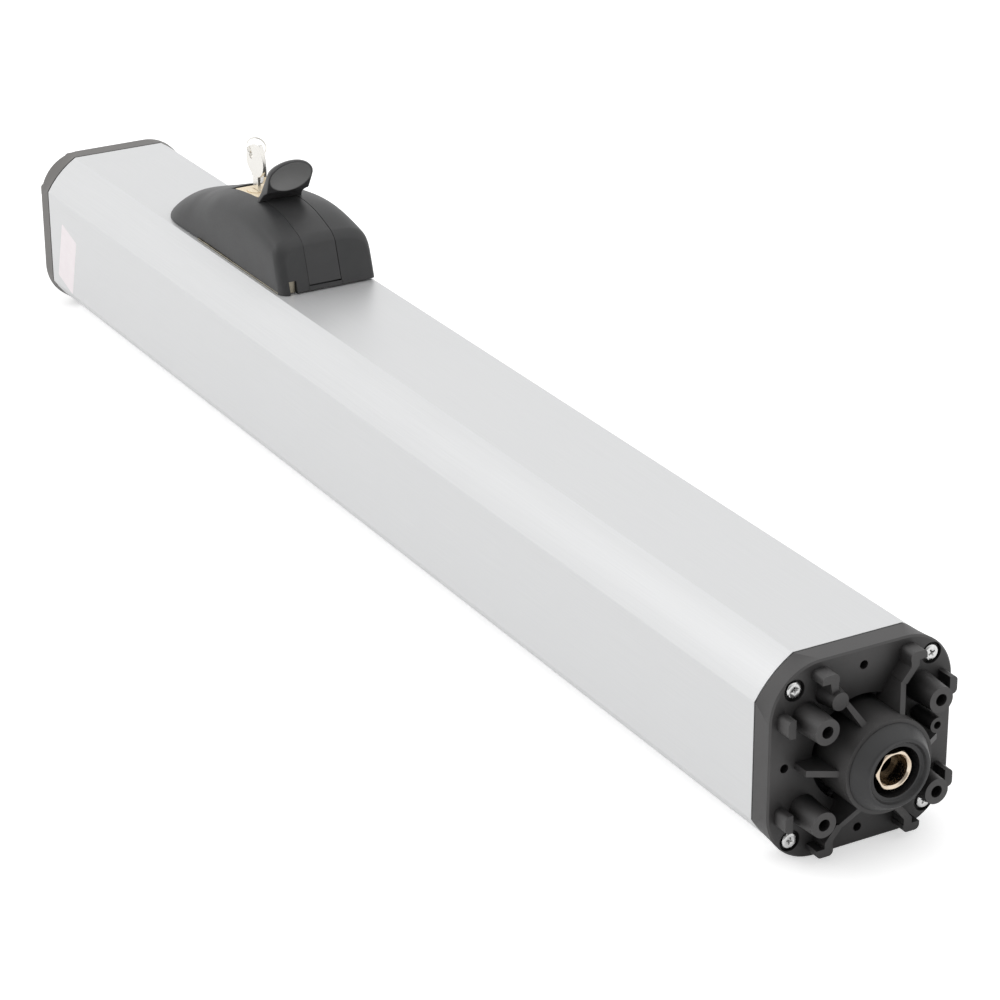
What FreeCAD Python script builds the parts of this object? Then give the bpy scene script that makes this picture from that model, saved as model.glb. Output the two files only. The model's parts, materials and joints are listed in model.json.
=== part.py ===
import FreeCAD, Part
import os
import re
import Sketcher

# Hydraulic swing gate operator: an octagonal aluminium housing between two moulded caps,
# with a ram that comes out of the front cap, a motor and gear pump behind it, and a
# keyed release lever on top.
# Frame: +X along the ram towards its free end, +Z up, origin on the ram's axis in the
# plane of the rear cap's boss ends.

Vector = FreeCAD.Vector
document = FreeCAD.newDocument("gate_operator")

# Driving sizes in millimetres, angles in degrees
SIZES = {
    # Housing extrusion
    "section_size": 100.0,
    "flat_width": 60.0,
    "corner_radius": 56.5,
    "profile_length": 818.0,
    "profile_wall": 3.5,
    "port_wall_radius": 4.4,
    "tapped_radius": 2.1,
    "cap_screw_y": 37.4,
    "cap_screw_z": 38.2,
    # End caps, one moulding for both ends
    "gasket_thickness": 1.0,
    "gasket_ear_radius": 4.4,
    "cap_depth": 13.0,
    "cap_edge": 0.9,
    "cap_front_flat": 46.0,
    "cap_front_radius": 27.0,
    "spigot_radius": 46.1,
    "spigot_depth": 6.0,
    "seat_radius": 26.05,
    "seat_depth": 7.0,
    "hub_bore_radius": 20.0,
    "hub_radius": 23.5,
    "hub_reach": 35.0,
    "moat_radius": 27.0,
    "moat_depth": 6.0,
    "boss_y": 31.0,
    "boss_z": 23.5,
    "boss_tip_radius": 6.4,
    "boss_root_radius": 7.4,
    "boss_reach": 30.5,
    "boss_hole_radius": 3.0,
    "boss_hole_depth": 22.0,
    "tab_offset": 24.0,
    "tab_width": 9.0,
    "tab_outer": 46.2,
    "tab_thickness": 4.2,
    "tab_corner": 2.4,
    "tab_reach": 22.0,
    "leg_thickness": 4.4,
    "leg_offset": 22.0,
    "leg_bend": 39.0,
    "rib_thickness": 3.2,
    "rib_lean": 26.0,
    "rib_hub_reach": 29.5,
    "rib_end_reach": 22.0,
    "rib_end_radius": 36.0,
    "button_y": 20.0,
    "button_z": 33.0,
    "button_radius": 6.0,
    "button_reach": 24.0,
    "small_boss_y": 31.0,
    "small_boss_z": 9.8,
    "small_boss_radius": 3.8,
    "small_boss_reach": 28.5,
    "small_boss_hole": 1.9,
    "pin_hole_radius": 2.2,
    "pin_hole_offset": 41.6,
    "pin_hole_depth": 5.0,
    "screw_counterbore": 5.4,
    "counterbore_depth": 2.6,
    "screw_clear_radius": 2.7,
    # Cap screws
    "screw_head_radius": 4.4,
    "screw_head_height": 3.0,
    "screw_head_edge": 1.65,
    "screw_head_crown": 2.64,
    "screw_length": 24.0,
    "screw_slot_width": 1.1,
    "screw_slot_length": 5.0,
    "screw_slot_depth": 1.6,
    "thread_gap": 0.05,
    "seat_gap": 0.1,
    "running_gap": 0.06,
    # Rod, rod end and front gland
    "rod_radius": 10.0,
    "rod_stand_out": 11.5,
    "hex_flats": 18.0,
    "hex_length": 28.0,
    "hex_chamfer": 0.8,
    "guide_bore_radius": 7.0,
    "guide_bore_depth": 10.0,
    "rod_thread_radius": 5.1,
    "rod_thread_depth": 14.0,
    "rod_stud_radius": 6.0,
    "rod_stud_length": 14.0,
    "collar_bore_radius": 12.5,
    "collar_tip_radius": 18.1,
    "collar_root_radius": 22.9,
    "collar_reach": 43.0,
    "collar_step": 2.0,
    "gland_flange_radius": 38.0,
    "gland_flange_rear": 34.0,
    "gland_flange_front": 12.0,
    "gland_spigot_length": 12.0,
    "bush_radius": 12.0,
    "bush_length": 25.0,
    "seal_radius": 14.0,
    "seal_length": 7.0,
    "wiper_length": 5.0,
    "wiper_lip": 1.5,
    "gland_inner_depth": 5.0,
    # Cylinder and piston
    "cylinder_bore_radius": 22.0,
    "cylinder_radius": 26.0,
    "tube_seat_depth": 10.0,
    "piston_length": 28.0,
    "piston_tail_radius": 7.0,
    "piston_nut_flats": 22.0,
    "piston_nut_length": 10.0,
    "piston_gap": 3.0,
    "piston_seal_width": 6.0,
    "piston_seal_depth": 3.0,
    "stop_tube_radius": 14.0,
    "stop_tube_length": 34.0,
    # Valve block, pipe and relief screws
    "block_rear": 192.0,
    "block_front": 335.0,
    "block_half": 36.0,
    "block_corner": 28.0,
    "oil_way_radius": 12.0,
    "oil_way_depth": 12.0,
    "pipe_drop": 31.0,
    "pipe_radius": 4.0,
    "pipe_bore_radius": 3.0,
    "pipe_socket": 6.0,
    "relief_x": 60.0,
    "relief_y": 18.0,
    "relief_radius": 5.0,
    "relief_length": 22.0,
    "relief_key_flats": 4.0,
    "relief_key_depth": 5.0,
    # Gear pump
    "pump_body_length": 18.0,
    "pump_cover_length": 10.0,
    "pump_half_width": 24.0,
    "pump_top": 22.0,
    "pump_bottom": 44.0,
    "gear_centres": 24.0,
    "gear_tip_radius": 13.7,
    "gear_root_radius": 9.6,
    "gear_teeth": 12.0,
    "gear_side_gap": 0.1,
    "gear_tip_gap": 0.15,
    "tooth_root_half": 1.75,
    "tooth_pitch_half": 1.4,
    "tooth_tip_half": 0.75,
    "idler_radius": 5.0,
    "journal_depth": 9.0,
    "pump_bolt_y": 19.0,
    "pump_bolt_top": 17.0,
    "pump_bolt_bottom": 38.5,
    "pump_bolt_radius": 2.5,
    "pump_bolt_grip": 42.0,
    "pump_bolt_head": 4.5,
    "pump_bolt_head_height": 5.0,
    "pump_bolt_sink": 5.2,
    "strainer_radius": 9.0,
    "strainer_length": 14.0,
    "strainer_z": 12.0,
    # Electric motor
    "motor_radius": 38.0,
    "motor_wall": 2.0,
    "motor_rear": 46.0,
    "motor_end_wall": 3.0,
    "motor_flange_length": 12.0,
    "shaft_radius": 6.0,
    "bearing_radius": 14.0,
    "bearing_width": 8.0,
    "bearing_housing": 18.0,
    "stator_bore": 24.0,
    "stator_start": 66.0,
    "stator_length": 66.0,
    "rotor_radius": 23.5,
    "winding_inner": 26.0,
    "winding_outer": 34.0,
    "winding_length": 8.0,
    "buffer_inner": 20.0,
    "buffer_outer": 28.0,
    # Rear insert, cable gland and filler plug
    "insert_thread_radius": 7.0,
    "insert_thread_depth": 24.0,
    "gland_z": 36.0,
    "gland_thread_radius": 6.0,
    "gland_flats": 14.5,
    "gland_hex_length": 5.0,
    "gland_nut_radius": 7.0,
    "gland_nut_length": 10.0,
    "gland_inner_length": 1.5,
    "cable_radius": 3.5,
    "filler_z": 36.0,
    "filler_thread_radius": 5.0,
    "filler_head_radius": 7.0,
    "filler_head_height": 4.0,
    "filler_key_flats": 6.0,
    # Release cover and its bracket
    "hood_setback": 297.0,
    "hood_length": 195.0,
    "hood_half_width": 28.5,
    "hood_height": 38.5,
    "hood_wall": 2.6,
    "hood_lift": 0.3,
    "hood_corner_share": 0.1,
    "hood_front_lean": 9.0,
    "hood_front_height": 28.5,
    "slot_half_width": 10.4,
    "slot_rear": 102.0,
    "bracket_thickness": 1.0,
    "bracket_front": 6.2,
    "bracket_half_width": 21.0,
    "bracket_length": 158.0,
    "bracket_flange_start": 5.0,
    "bracket_flange_end": 114.0,
    "bracket_flange_half": 28.2,
    "flange_notch_height": 1.3,
    "ear_inner": 18.5,
    "ear_outer": 22.5,
    "ear_front": 2.0,
    "ear_rear": 14.0,
    "ear_height": 10.0,
    "ear_nose_height": 7.4,
    "ear_nose_lean": 0.6,
    "ear_nose_length": 3.1,
    "ear_gap": 0.3,
    "bracket_screw_x": 30.0,
    "bracket_screw_pitch": 110.0,
    "bracket_screw_y": 15.0,
    # Release lever, its pin and the spindle it lifts
    "lever_half_width": 10.0,
    "lever_thickness": 3.0,
    "lever_rear": 62.0,
    "pivot_setback": 4.9,
    "pivot_height": 4.6,
    "knuckle_radius": 3.3,
    "knuckle_web_height": 5.0,
    "pin_radius": 1.75,
    "pin_way_gap": 0.4,
    "prong_radius": 9.4,
    "prong_thickness": 2.0,
    "prong_inner": 3.0,
    "prong_outer": 6.0,
    "paddle_setback": 54.0,
    "paddle_foot": 34.0,
    "paddle_height": 34.5,
    "paddle_base_half": 12.2,
    "paddle_shoulder": 6.2,
    "paddle_wide_half": 14.8,
    "paddle_wide_height": 25.0,
    "paddle_thickness": 7.0,
    "paddle_lean": 23.0,
    "paddle_edge": 2.0,
    "dish_radius": 26.0,
    "dish_depth": 3.1,
    "dish_height": 21.5,
    "spindle_setback": 14.3,
    "spindle_head_radius": 4.5,
    "spindle_head_height": 3.0,
    "spindle_neck_radius": 2.5,
    "spindle_radius": 5.0,
    "spindle_shoulder_z": 38.0,
    "spindle_foot_z": 5.0,
    "spindle_clear_radius": 7.0,
    "head_gap": 0.3,
    # Lock and keys
    "lock_front": 76.0,
    "lock_length": 21.0,
    "lock_half_width": 9.9,
    "lock_top": 34.0,
    "key_setback": 88.0,
    "plug_radius": 6.0,
    "plug_depth": 26.0,
    "plug_stand_out": 0.4,
    "keyway_width": 2.2,
    "keyway_length": 8.4,
    "keyway_depth": 22.0,
    "key_thickness": 1.8,
    "blade_width": 7.6,
    "blade_length": 20.0,
    "neck_width": 7.0,
    "neck_top": 43.5,
    "bow_height": 52.0,
    "bow_half_width": 11.5,
    "bow_half_height": 9.75,
    "key_hole_x": 5.0,
    "key_hole_z": 2.4,
    "key_hole_radius": 2.2,
    "ring_radius": 6.0,
    "ring_wire": 0.45,
    "ring_chord_half": 4.3,
    "ring_lean": 40.0,
    "spare_blade_length": 17.0,
    "spare_hang": 75.0,
    "spare_turn": 75.0,
    "spare_drop": 22.0,
}

sheet = document.addObject("Spreadsheet::Sheet", "Sizes")
for row, (name, size) in enumerate(SIZES.items(), start=1):
    sheet.set(f"A{row}", name)
    sheet.set(f"B{row}", str(size))
    sheet.setAlias(f"B{row}", name)
document.recompute()

# An expression in this file names sizes as plain words; bound() points them at the sheet
SIZE_WORD = re.compile(r"\b(" + "|".join(SIZES) + r")\b")


def bound(text):
    return SIZE_WORD.sub(r"Sizes.\1", text)


def number(text):
    result = sheet.evalExpression(bound(text))
    return float(getattr(result, "Value", result))


pieces = []


def piece(item):
    pieces.append(item)
    return item


def place(item, x="0", y="0", z="0"):
    for axis, text in (("x", x), ("y", y), ("z", z)):
        if text != "0":
            item.setExpression(f"Placement.Base.{axis}", bound(text))
    return item


def turn(item, axis, text):
    item.Placement = FreeCAD.Placement(item.Placement.Base, FreeCAD.Rotation(Vector(*axis), 1))
    item.setExpression("Placement.Rotation.Angle", bound(text))
    return item


def new_body(label, x="0", y="0", z="0"):
    body = document.addObject("PartDesign::Body", label)
    body.Label = label
    return place(body, x, y, z)


def new_sketch(body, plane, offset="0", lean=None):
    sketch = body.newObject("Sketcher::SketchObject", f"{body.Label}_sketch")
    origin = {feature.Role: feature for feature in body.Origin.OriginFeatures}
    sketch.AttachmentSupport = [(origin[plane + "_Plane"], "")]
    sketch.MapMode = "FlatFace"
    if lean is not None:
        sketch.AttachmentOffset = FreeCAD.Placement(Vector(), FreeCAD.Rotation(Vector(1, 0, 0), 1))
        sketch.setExpression("AttachmentOffset.Rotation.Angle", bound(lean))
    if offset != "0":
        sketch.setExpression("AttachmentOffset.Base.z", bound(offset))
    return sketch


def fix_point(sketch, shape, end, x, y):
    for kind, text in (("DistanceX", x), ("DistanceY", y)):
        index = sketch.addConstraint(Sketcher.Constraint(kind, -1, 1, shape, end, number(text)))
        sketch.setExpression(f"Constraints[{index}]", bound(text))


def outline(sketch, corners):
    """A closed outline, anticlockwise: each corner is (x, y) or (x, y, radius of the arc after it)."""
    first = sketch.GeometryCount
    count = len(corners)
    for at, corner in enumerate(corners):
        following = corners[(at + 1) % count]
        start = Vector(number(corner[0]), number(corner[1]), 0)
        end = Vector(number(following[0]), number(following[1]), 0)
        if len(corner) == 2:
            sketch.addGeometry(Part.LineSegment(start, end))
            continue
        radius = number(corner[2])
        chord = end - start
        reach = max(radius ** 2 - chord.Length ** 2 / 4, 0.0) ** 0.5
        centre = (start + end) / 2 + Vector(-chord.y, chord.x, 0).normalize() * reach
        middle = centre + (Vector(chord.y, -chord.x, 0).normalize() * radius)
        sketch.addGeometry(Part.Arc(start, middle, end))
    for at, corner in enumerate(corners):
        here, following = first + at, first + (at + 1) % count
        sketch.addConstraint(Sketcher.Constraint("Coincident", here, 2, following, 1))
        fix_point(sketch, here, 1, corner[0], corner[1])
        if len(corner) == 3:
            index = sketch.addConstraint(Sketcher.Constraint("Radius", here, number(corner[2])))
            sketch.setExpression(f"Constraints[{index}]", bound(corner[2]))
    return sketch


def circle(sketch, radius, x="0", y="0"):
    shape = sketch.addGeometry(Part.Circle(Vector(number(x), number(y), 0), Vector(0, 0, 1), number(radius)))
    index = sketch.addConstraint(Sketcher.Constraint("Radius", shape, number(radius)))
    sketch.setExpression(f"Constraints[{index}]", bound(radius))
    fix_point(sketch, shape, 3, x, y)
    return sketch


def rectangle(sketch, low_x, high_x, low_y, high_y):
    return outline(sketch, [(low_x, low_y), (high_x, low_y), (high_x, high_y), (low_x, high_y)])


def hexagon(sketch, flats, x="0", y="0"):
    """A regular hexagon with two corners on the sketch's horizontal axis."""
    corner = f"({flats}) / sqrt(3)"
    half = f"({flats}) / sqrt(3) / 2"
    rise = f"({flats}) / 2"
    around = [(corner, "0"), (half, rise), (f"-{half}", rise), (f"-{corner}", "0"),
              (f"-{half}", f"-{rise}"), (half, f"-{rise}")]
    return outline(sketch, [(f"({x}) + ({dx})", f"({y}) + ({dy})") for dx, dy in around])


def raise_from(body, kind, sketch, length, back=False, both_sides=False):
    feature = body.newObject(f"PartDesign::{kind}", f"{body.Label}_{kind.lower()}")
    feature.Profile = sketch
    feature.Reversed = back
    if both_sides:
        feature.SideType = "Symmetric"
    feature.setExpression("Length", bound(length))
    return feature


def pad(body, sketch, length, back=False, both_sides=False):
    return raise_from(body, "Pad", sketch, length, back, both_sides)


def pocket(body, sketch, length, back=False, both_sides=False):
    return raise_from(body, "Pocket", sketch, length, back, both_sides)


def round_edges(body, feature, radius, picked):
    """Rounds a feature's edges that a test on their middle picks, apart from those along its thickness."""
    document.recompute()
    names = []
    for at, edge in enumerate(feature.Shape.Edges, start=1):
        lies_flat = edge.BoundBox.XLength < 0.01
        if lies_flat and picked(edge.CenterOfMass):
            names.append(f"Edge{at}")
    fillet = body.newObject("PartDesign::Fillet", f"{body.Label}_fillet")
    fillet.Base = (feature, names)
    fillet.setExpression("Radius", bound(radius))
    return fillet


def spin(body, corners, kind="Revolution"):
    """A half section in the XZ plane, turned about the body's X axis."""
    sketch = outline(new_sketch(body, "XZ"), corners)
    feature = body.newObject(f"PartDesign::{kind}", f"{body.Label}_{kind.lower()}")
    feature.Profile = sketch
    feature.ReferenceAxis = (sketch, ["H_Axis"])
    feature.Angle = 360
    return feature


def turned(label, corners, x="0", y="0", z="0"):
    body = new_body(label, x, y, z)
    spin(body, corners)
    return piece(body)


def ring(label, inner, outer, start, length, x="0", y="0", z="0"):
    end = f"({start}) + ({length})"
    return turned(label, [(start, inner), (end, inner), (end, outer), (start, outer)], x, y, z)


def group(label, members):
    compound = document.addObject("Part::Compound", label)
    compound.Label = label
    compound.Links = members
    return piece(compound)


# Housing: one octagonal extrusion with a screw port in each corner
REAR_JOINT = "boss_reach"
FRONT_JOINT = "(boss_reach + profile_length)"
TOP = "section_size / 2"


def octagon(sketch, inset="0", radius=None):
    half = f"(section_size / 2 - {inset})"
    flat = f"(flat_width / 2 - {inset} * (sqrt(2) - 1))"
    return eight_sided(sketch, half, flat, radius)


def eight_sided(sketch, half, flat, radius):
    arc = () if radius is None else (radius,)
    return outline(sketch, [
        (half, f"-{flat}"), (half, flat, *arc), (flat, half), (f"-{flat}", half, *arc),
        (f"-{half}", flat), (f"-{half}", f"-{flat}", *arc), (f"-{flat}", f"-{half}"),
        (flat, f"-{half}", *arc)])


def four_ways(y, z):
    return [(y, z), (f"-{y}", z), (f"-{y}", f"-{z}"), (y, f"-{z}")]


HOOD_FRONT = "(boss_reach + hood_setback)"
SPINDLE_X = f"({HOOD_FRONT} - spindle_setback)"


def make_housing():
    body = new_body("housing_profile", x=REAR_JOINT)
    section = new_sketch(body, "YZ")
    octagon(section, radius="corner_radius")
    octagon(section, inset="profile_wall")
    pad(body, section, "profile_length")
    ports = new_sketch(body, "YZ")
    for y, z in four_ways("cap_screw_y", "cap_screw_z"):
        circle(ports, "port_wall_radius", y, z)
    pad(body, ports, "profile_length")
    bores = new_sketch(body, "YZ")
    for y, z in four_ways("cap_screw_y", "cap_screw_z"):
        circle(bores, "tapped_radius", y, z)
    pocket(body, bores, "profile_length", back=True)
    openings = new_sketch(body, "XY", offset="section_size / 2 - profile_wall - 1")
    circle(openings, "spindle_clear_radius", "hood_setback - spindle_setback")
    for x in bracket_screw_places():
        for y in ("bracket_screw_y", "-bracket_screw_y"):
            circle(openings, "tapped_radius", f"hood_setback - {x}", y)
    pocket(body, openings, "profile_wall + 2", back=True)
    return piece(body)


def bracket_screw_places():
    return ("bracket_screw_x", "(bracket_screw_x + bracket_screw_pitch)")


# End caps: rim, spigot, hub and moat, bosses, tabs, ribs and screw holes
def make_cap(label, x, rear=False):
    body = new_body(label, x=x)
    if rear:
        turn(body, (0, 0, 1), "180")
    joint_side = octagon(new_sketch(body, "YZ", "gasket_thickness"), radius="corner_radius")
    shoulder = eight_sided(new_sketch(body, "YZ", "cap_depth - cap_edge"), f"({TOP})",
                           "(cap_front_flat / 2)", "cap_front_radius")
    outer_side = eight_sided(new_sketch(body, "YZ", "cap_depth"), f"({TOP} - cap_edge)",
                             "(cap_front_flat / 2)", "(cap_front_radius - cap_edge)")
    rim = body.newObject("PartDesign::AdditiveLoft", f"{label}_rim")
    rim.Profile = joint_side
    rim.Sections = [shoulder, outer_side]
    rim.Ruled = True
    pad(body, circle(new_sketch(body, "YZ", "gasket_thickness"), "spigot_radius"),
        "spigot_depth + gasket_thickness", back=True)
    add_tabs(body)
    add_ribs(body)
    bosses = new_sketch(body, "YZ", "boss_reach")
    for y, z in four_ways("boss_y", "boss_z"):
        circle(bosses, "boss_tip_radius", y, z)
    raised = pad(body, bosses, "boss_reach - cap_depth + 1", back=True)
    taper = "atan((boss_root_radius - boss_tip_radius) / (boss_reach - cap_depth))"
    raised.setExpression("TaperAngle", bound(taper))
    extra = new_sketch(body, "YZ", "cap_depth - 1")
    circle(extra, "small_boss_radius", "small_boss_y", "small_boss_z")
    pad(body, extra, "small_boss_reach - cap_depth + 1")
    button = circle(new_sketch(body, "YZ", "cap_depth - 1"), "button_radius", "-button_y", "button_z")
    pad(body, button, "button_reach - cap_depth + 1")
    moat = circle(new_sketch(body, "YZ", "cap_depth"), "moat_radius")
    pocket(body, circle(moat, "hub_radius"), "moat_depth")
    hub = circle(new_sketch(body, "YZ", "cap_depth - moat_depth"), "hub_radius")
    pad(body, hub, "hub_reach - cap_depth + moat_depth")
    add_rib_roots(body)
    hub_bore = circle(new_sketch(body, "YZ", "hub_reach"), "hub_bore_radius")
    pocket(body, hub_bore, "hub_reach + spigot_depth + 1")
    pocket(body, circle(new_sketch(body, "YZ", "seat_depth"), "seat_radius"), "seat_depth + spigot_depth + 1")
    holes = new_sketch(body, "YZ", "boss_reach")
    for y, z in four_ways("boss_y", "boss_z"):
        circle(holes, "boss_hole_radius", y, z)
    pocket(body, holes, "boss_hole_depth")
    small = new_sketch(body, "YZ", "small_boss_reach")
    circle(small, "small_boss_hole", "small_boss_y", "small_boss_z")
    pocket(body, small, "small_boss_reach - cap_depth")
    pins = new_sketch(body, "YZ", "cap_depth")
    circle(pins, "pin_hole_radius", "pin_hole_offset")
    circle(pins, "pin_hole_radius", "-pin_hole_offset")
    if not rear:
        circle(pins, "pin_hole_radius", "0", "pin_hole_offset")
        circle(pins, "pin_hole_radius", "0", "-pin_hole_offset")
    pocket(body, pins, "pin_hole_depth")
    sinks = new_sketch(body, "YZ", "cap_depth")
    through = new_sketch(body, "YZ", "cap_depth")
    for y, z in four_ways("cap_screw_y", "cap_screw_z"):
        circle(sinks, "screw_counterbore", y, z)
        circle(through, "screw_clear_radius", y, z)
    pocket(body, sinks, "counterbore_depth")
    pocket(body, through, "cap_depth")
    if rear:
        entries = new_sketch(body, "YZ", "cap_depth")
        circle(entries, "gland_thread_radius", "0", "-gland_z")
        circle(entries, "filler_thread_radius", "0", "filler_z")
        pocket(body, entries, "cap_depth + spigot_depth + 1")
    return piece(body)


def quarter_turn(corners):
    return [(f"-({y})", z, *arc) for z, y, *arc in corners]


def add_tabs(body):
    """Two rounded locating tabs stand on each flat, and legs join the upper and lower ones to the ribs."""
    tabs = new_sketch(body, "YZ", "cap_depth - 1")
    inner = "(tab_outer - tab_thickness)"
    low = "(tab_offset - tab_width / 2)"
    high = "(tab_offset + tab_width / 2)"
    for first, second in ((low, high), (f"-{high}", f"-{low}")):
        tab = [(first, inner), (second, inner), (second, "tab_outer - tab_corner", "tab_corner"),
               (f"{second} - tab_corner", "tab_outer"), (f"{first} + tab_corner", "tab_outer", "tab_corner"),
               (first, "tab_outer - tab_corner")]
        for _ in range(4):
            outline(tabs, tab)
            tab = quarter_turn(tab)
    pad(body, tabs, "tab_reach - cap_depth + 1")
    legs = new_sketch(body, "YZ", "cap_depth - 1")
    half = "leg_thickness / 2"
    rectangle(legs, f"-leg_offset - {half}", f"-leg_offset + {half}", "button_z", f"{inner} + 1")
    end_y = "rib_end_radius * sin(rib_lean)"
    end_z = "(rib_end_radius * cos(rib_lean) - 1)"
    leg = [(f"{end_y} - {half}", end_z), (f"{end_y} + {half}", end_z), (f"leg_offset + {half}", "leg_bend"),
           (f"leg_offset + {half}", f"{inner} + 1"), (f"leg_offset - {half}", f"{inner} + 1"),
           (f"leg_offset - {half}", "leg_bend")]
    outline(legs, leg)
    outline(legs, [(y, f"-({z})") for y, z in leg[::-1]])
    outline(legs, [(f"-({y})", f"-({z})") for y, z in leg])
    pad(body, legs, "tab_reach - cap_depth + 1")


RIB_DIRECTIONS = ("0", "180", "90 - rib_lean", "90 + rib_lean", "270 - rib_lean", "270 + rib_lean")
RIB_FALL = "((rib_hub_reach - rib_end_reach) / (rib_end_radius - hub_radius))"


def add_webs(body, corners):
    """The same web in each plane that holds the axis and a rib's direction round it."""
    for direction in RIB_DIRECTIONS:
        web = outline(new_sketch(body, "XY", lean=direction), corners)
        pad(body, web, "rib_thickness", both_sides=True)


def add_ribs(body):
    start = "(moat_radius - 0.5)"
    add_webs(body, [("cap_depth - 1", "rib_end_radius"), ("rib_end_reach", "rib_end_radius"),
                    (f"rib_hub_reach - {RIB_FALL} * ({start} - hub_radius)", start), ("cap_depth - 1", start)])


def add_rib_roots(body):
    """The ribs bridge the moat above its floor and end on the hub."""
    floor = "cap_depth - moat_depth / 2"
    add_webs(body, [(floor, "moat_radius"),
                    (f"rib_hub_reach - {RIB_FALL} * (moat_radius - hub_radius)", "moat_radius"),
                    ("rib_hub_reach", "hub_radius"), ("rib_hub_reach", "hub_bore_radius + 1"),
                    (floor, "hub_bore_radius + 1")])


def make_gasket(label, x, rear=False):
    body = new_body(label, x=x)
    if rear:
        turn(body, (0, 0, 1), "180")
    section = octagon(new_sketch(body, "YZ"), inset="0.2")
    octagon(section, inset="profile_wall - 0.1")
    pad(body, section, "gasket_thickness")
    ears = new_sketch(body, "YZ")
    holes = new_sketch(body, "YZ", "gasket_thickness")
    for y, z in four_ways("cap_screw_y", "cap_screw_z"):
        circle(ears, "gasket_ear_radius", y, z)
        circle(holes, "tapped_radius + seat_gap", y, z)
    pad(body, ears, "gasket_thickness")
    around = octagon(new_sketch(body, "YZ"), inset="0.2")
    pocket(body, octagon(around, inset="-gasket_ear_radius"), "gasket_thickness", back=True)
    pocket(body, holes, "gasket_thickness")
    return piece(body)


# Cap screws, four at each end, in groups
def make_screw(label, x, y, z, rear=False):
    body = new_body(label, x, y, z)
    if rear:
        turn(body, (0, 0, 1), "180")
    shank = "(tapped_radius - thread_gap)"
    spin(body, [("-screw_length", shank), ("0", shank), ("0", "screw_head_radius"),
                ("screw_head_edge", "screw_head_radius"), ("screw_head_height", "screw_head_crown"),
                ("screw_head_height", "0"), ("-screw_length", "0")])
    cross = new_sketch(body, "YZ", "screw_head_height")
    rectangle(cross, "-screw_slot_length / 2", "screw_slot_length / 2",
              "-screw_slot_width / 2", "screw_slot_width / 2")
    slot = pocket(body, cross, "screw_slot_depth")
    document.recompute()
    pattern = body.newObject("PartDesign::PolarPattern", f"{label}_cross")
    pattern.Originals = [slot]
    pattern.Axis = (cross, ["N_Axis"])
    pattern.Mode = "Extent"
    pattern.Angle = 90
    pattern.Occurrences = 2
    body.Tip = pattern
    return body


def make_cap_screws(label, x, rear=False):
    members = []
    for at, (y, z) in enumerate(four_ways("cap_screw_y", "cap_screw_z"), start=1):
        members.append(make_screw(f"{label}_{at}", x, y, z, rear))
    return group(label, members)


# Front gland, seals and collar, placed from the front joint
def make_front_end():
    seat_end = "(seat_depth - seat_gap)"
    seal_start = "(seat_depth - seat_gap - wiper_length - seal_length)"
    rear = "-gland_flange_rear"
    gland = new_body("rod_gland", x=FRONT_JOINT)
    spin(gland, [
        (f"{rear} - gland_spigot_length", "rod_radius + running_gap * 2"),
        (f"{seal_start} - bush_length", "rod_radius + running_gap * 2"),
        (f"{seal_start} - bush_length", "bush_radius"), (seal_start, "bush_radius"),
        (seal_start, "seal_radius"), (seat_end, "seal_radius"),
        (seat_end, "seat_radius - running_gap"), ("-gland_flange_front", "seat_radius - running_gap"),
        ("-gland_flange_front", "gland_flange_radius"), (rear, "gland_flange_radius"),
        (rear, "cylinder_bore_radius - running_gap"),
        (f"{rear} - gland_spigot_length", "cylinder_bore_radius - running_gap")])
    socket = circle(new_sketch(gland, "YZ", rear), "pipe_radius + thread_gap", "0", "-pipe_drop")
    pocket(gland, socket, "pipe_socket", back=True)
    piece(gland)
    slip = "rod_radius + running_gap"
    ring("rod_bush", slip, "bush_radius - 0.02", f"{seal_start} - bush_length", "bush_length", FRONT_JOINT)
    ring("rod_seal", slip, "seal_radius - 0.05", seal_start, "seal_length", FRONT_JOINT)
    wiper_start = f"{seal_start} + seal_length"
    turned("rod_wiper", [
        (wiper_start, slip), (f"{seat_end} + wiper_lip", slip), (f"{seat_end} + wiper_lip", f"{slip} + 0.8"),
        (seat_end, f"{slip} + 2"), (seat_end, "seal_radius - 0.05"), (wiper_start, "seal_radius - 0.05")],
        FRONT_JOINT)
    turned("front_collar", [
        ("seat_depth + 7", "collar_bore_radius"), ("collar_reach - collar_step", "collar_bore_radius"),
        ("collar_reach - collar_step", "collar_bore_radius + collar_step"),
        ("collar_reach", "collar_bore_radius + collar_step * 1.5"), ("collar_reach", "collar_tip_radius - 1"),
        ("collar_reach - 1", "collar_tip_radius"), ("hub_reach", "collar_root_radius"),
        ("hub_reach", "hub_bore_radius - seat_gap"),
        ("seat_depth + 7", "hub_bore_radius - seat_gap")], FRONT_JOINT)


# Cylinder, piston and rod, placed from the valve block's front face
TUBE_REAR = "(block_front - tube_seat_depth)"
PISTON_REAR = f"({TUBE_REAR} + piston_gap + piston_nut_length)"
PISTON_FRONT = f"({PISTON_REAR} + piston_length)"
ROD_FRONT = f"({FRONT_JOINT} + rod_stand_out)"


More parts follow.
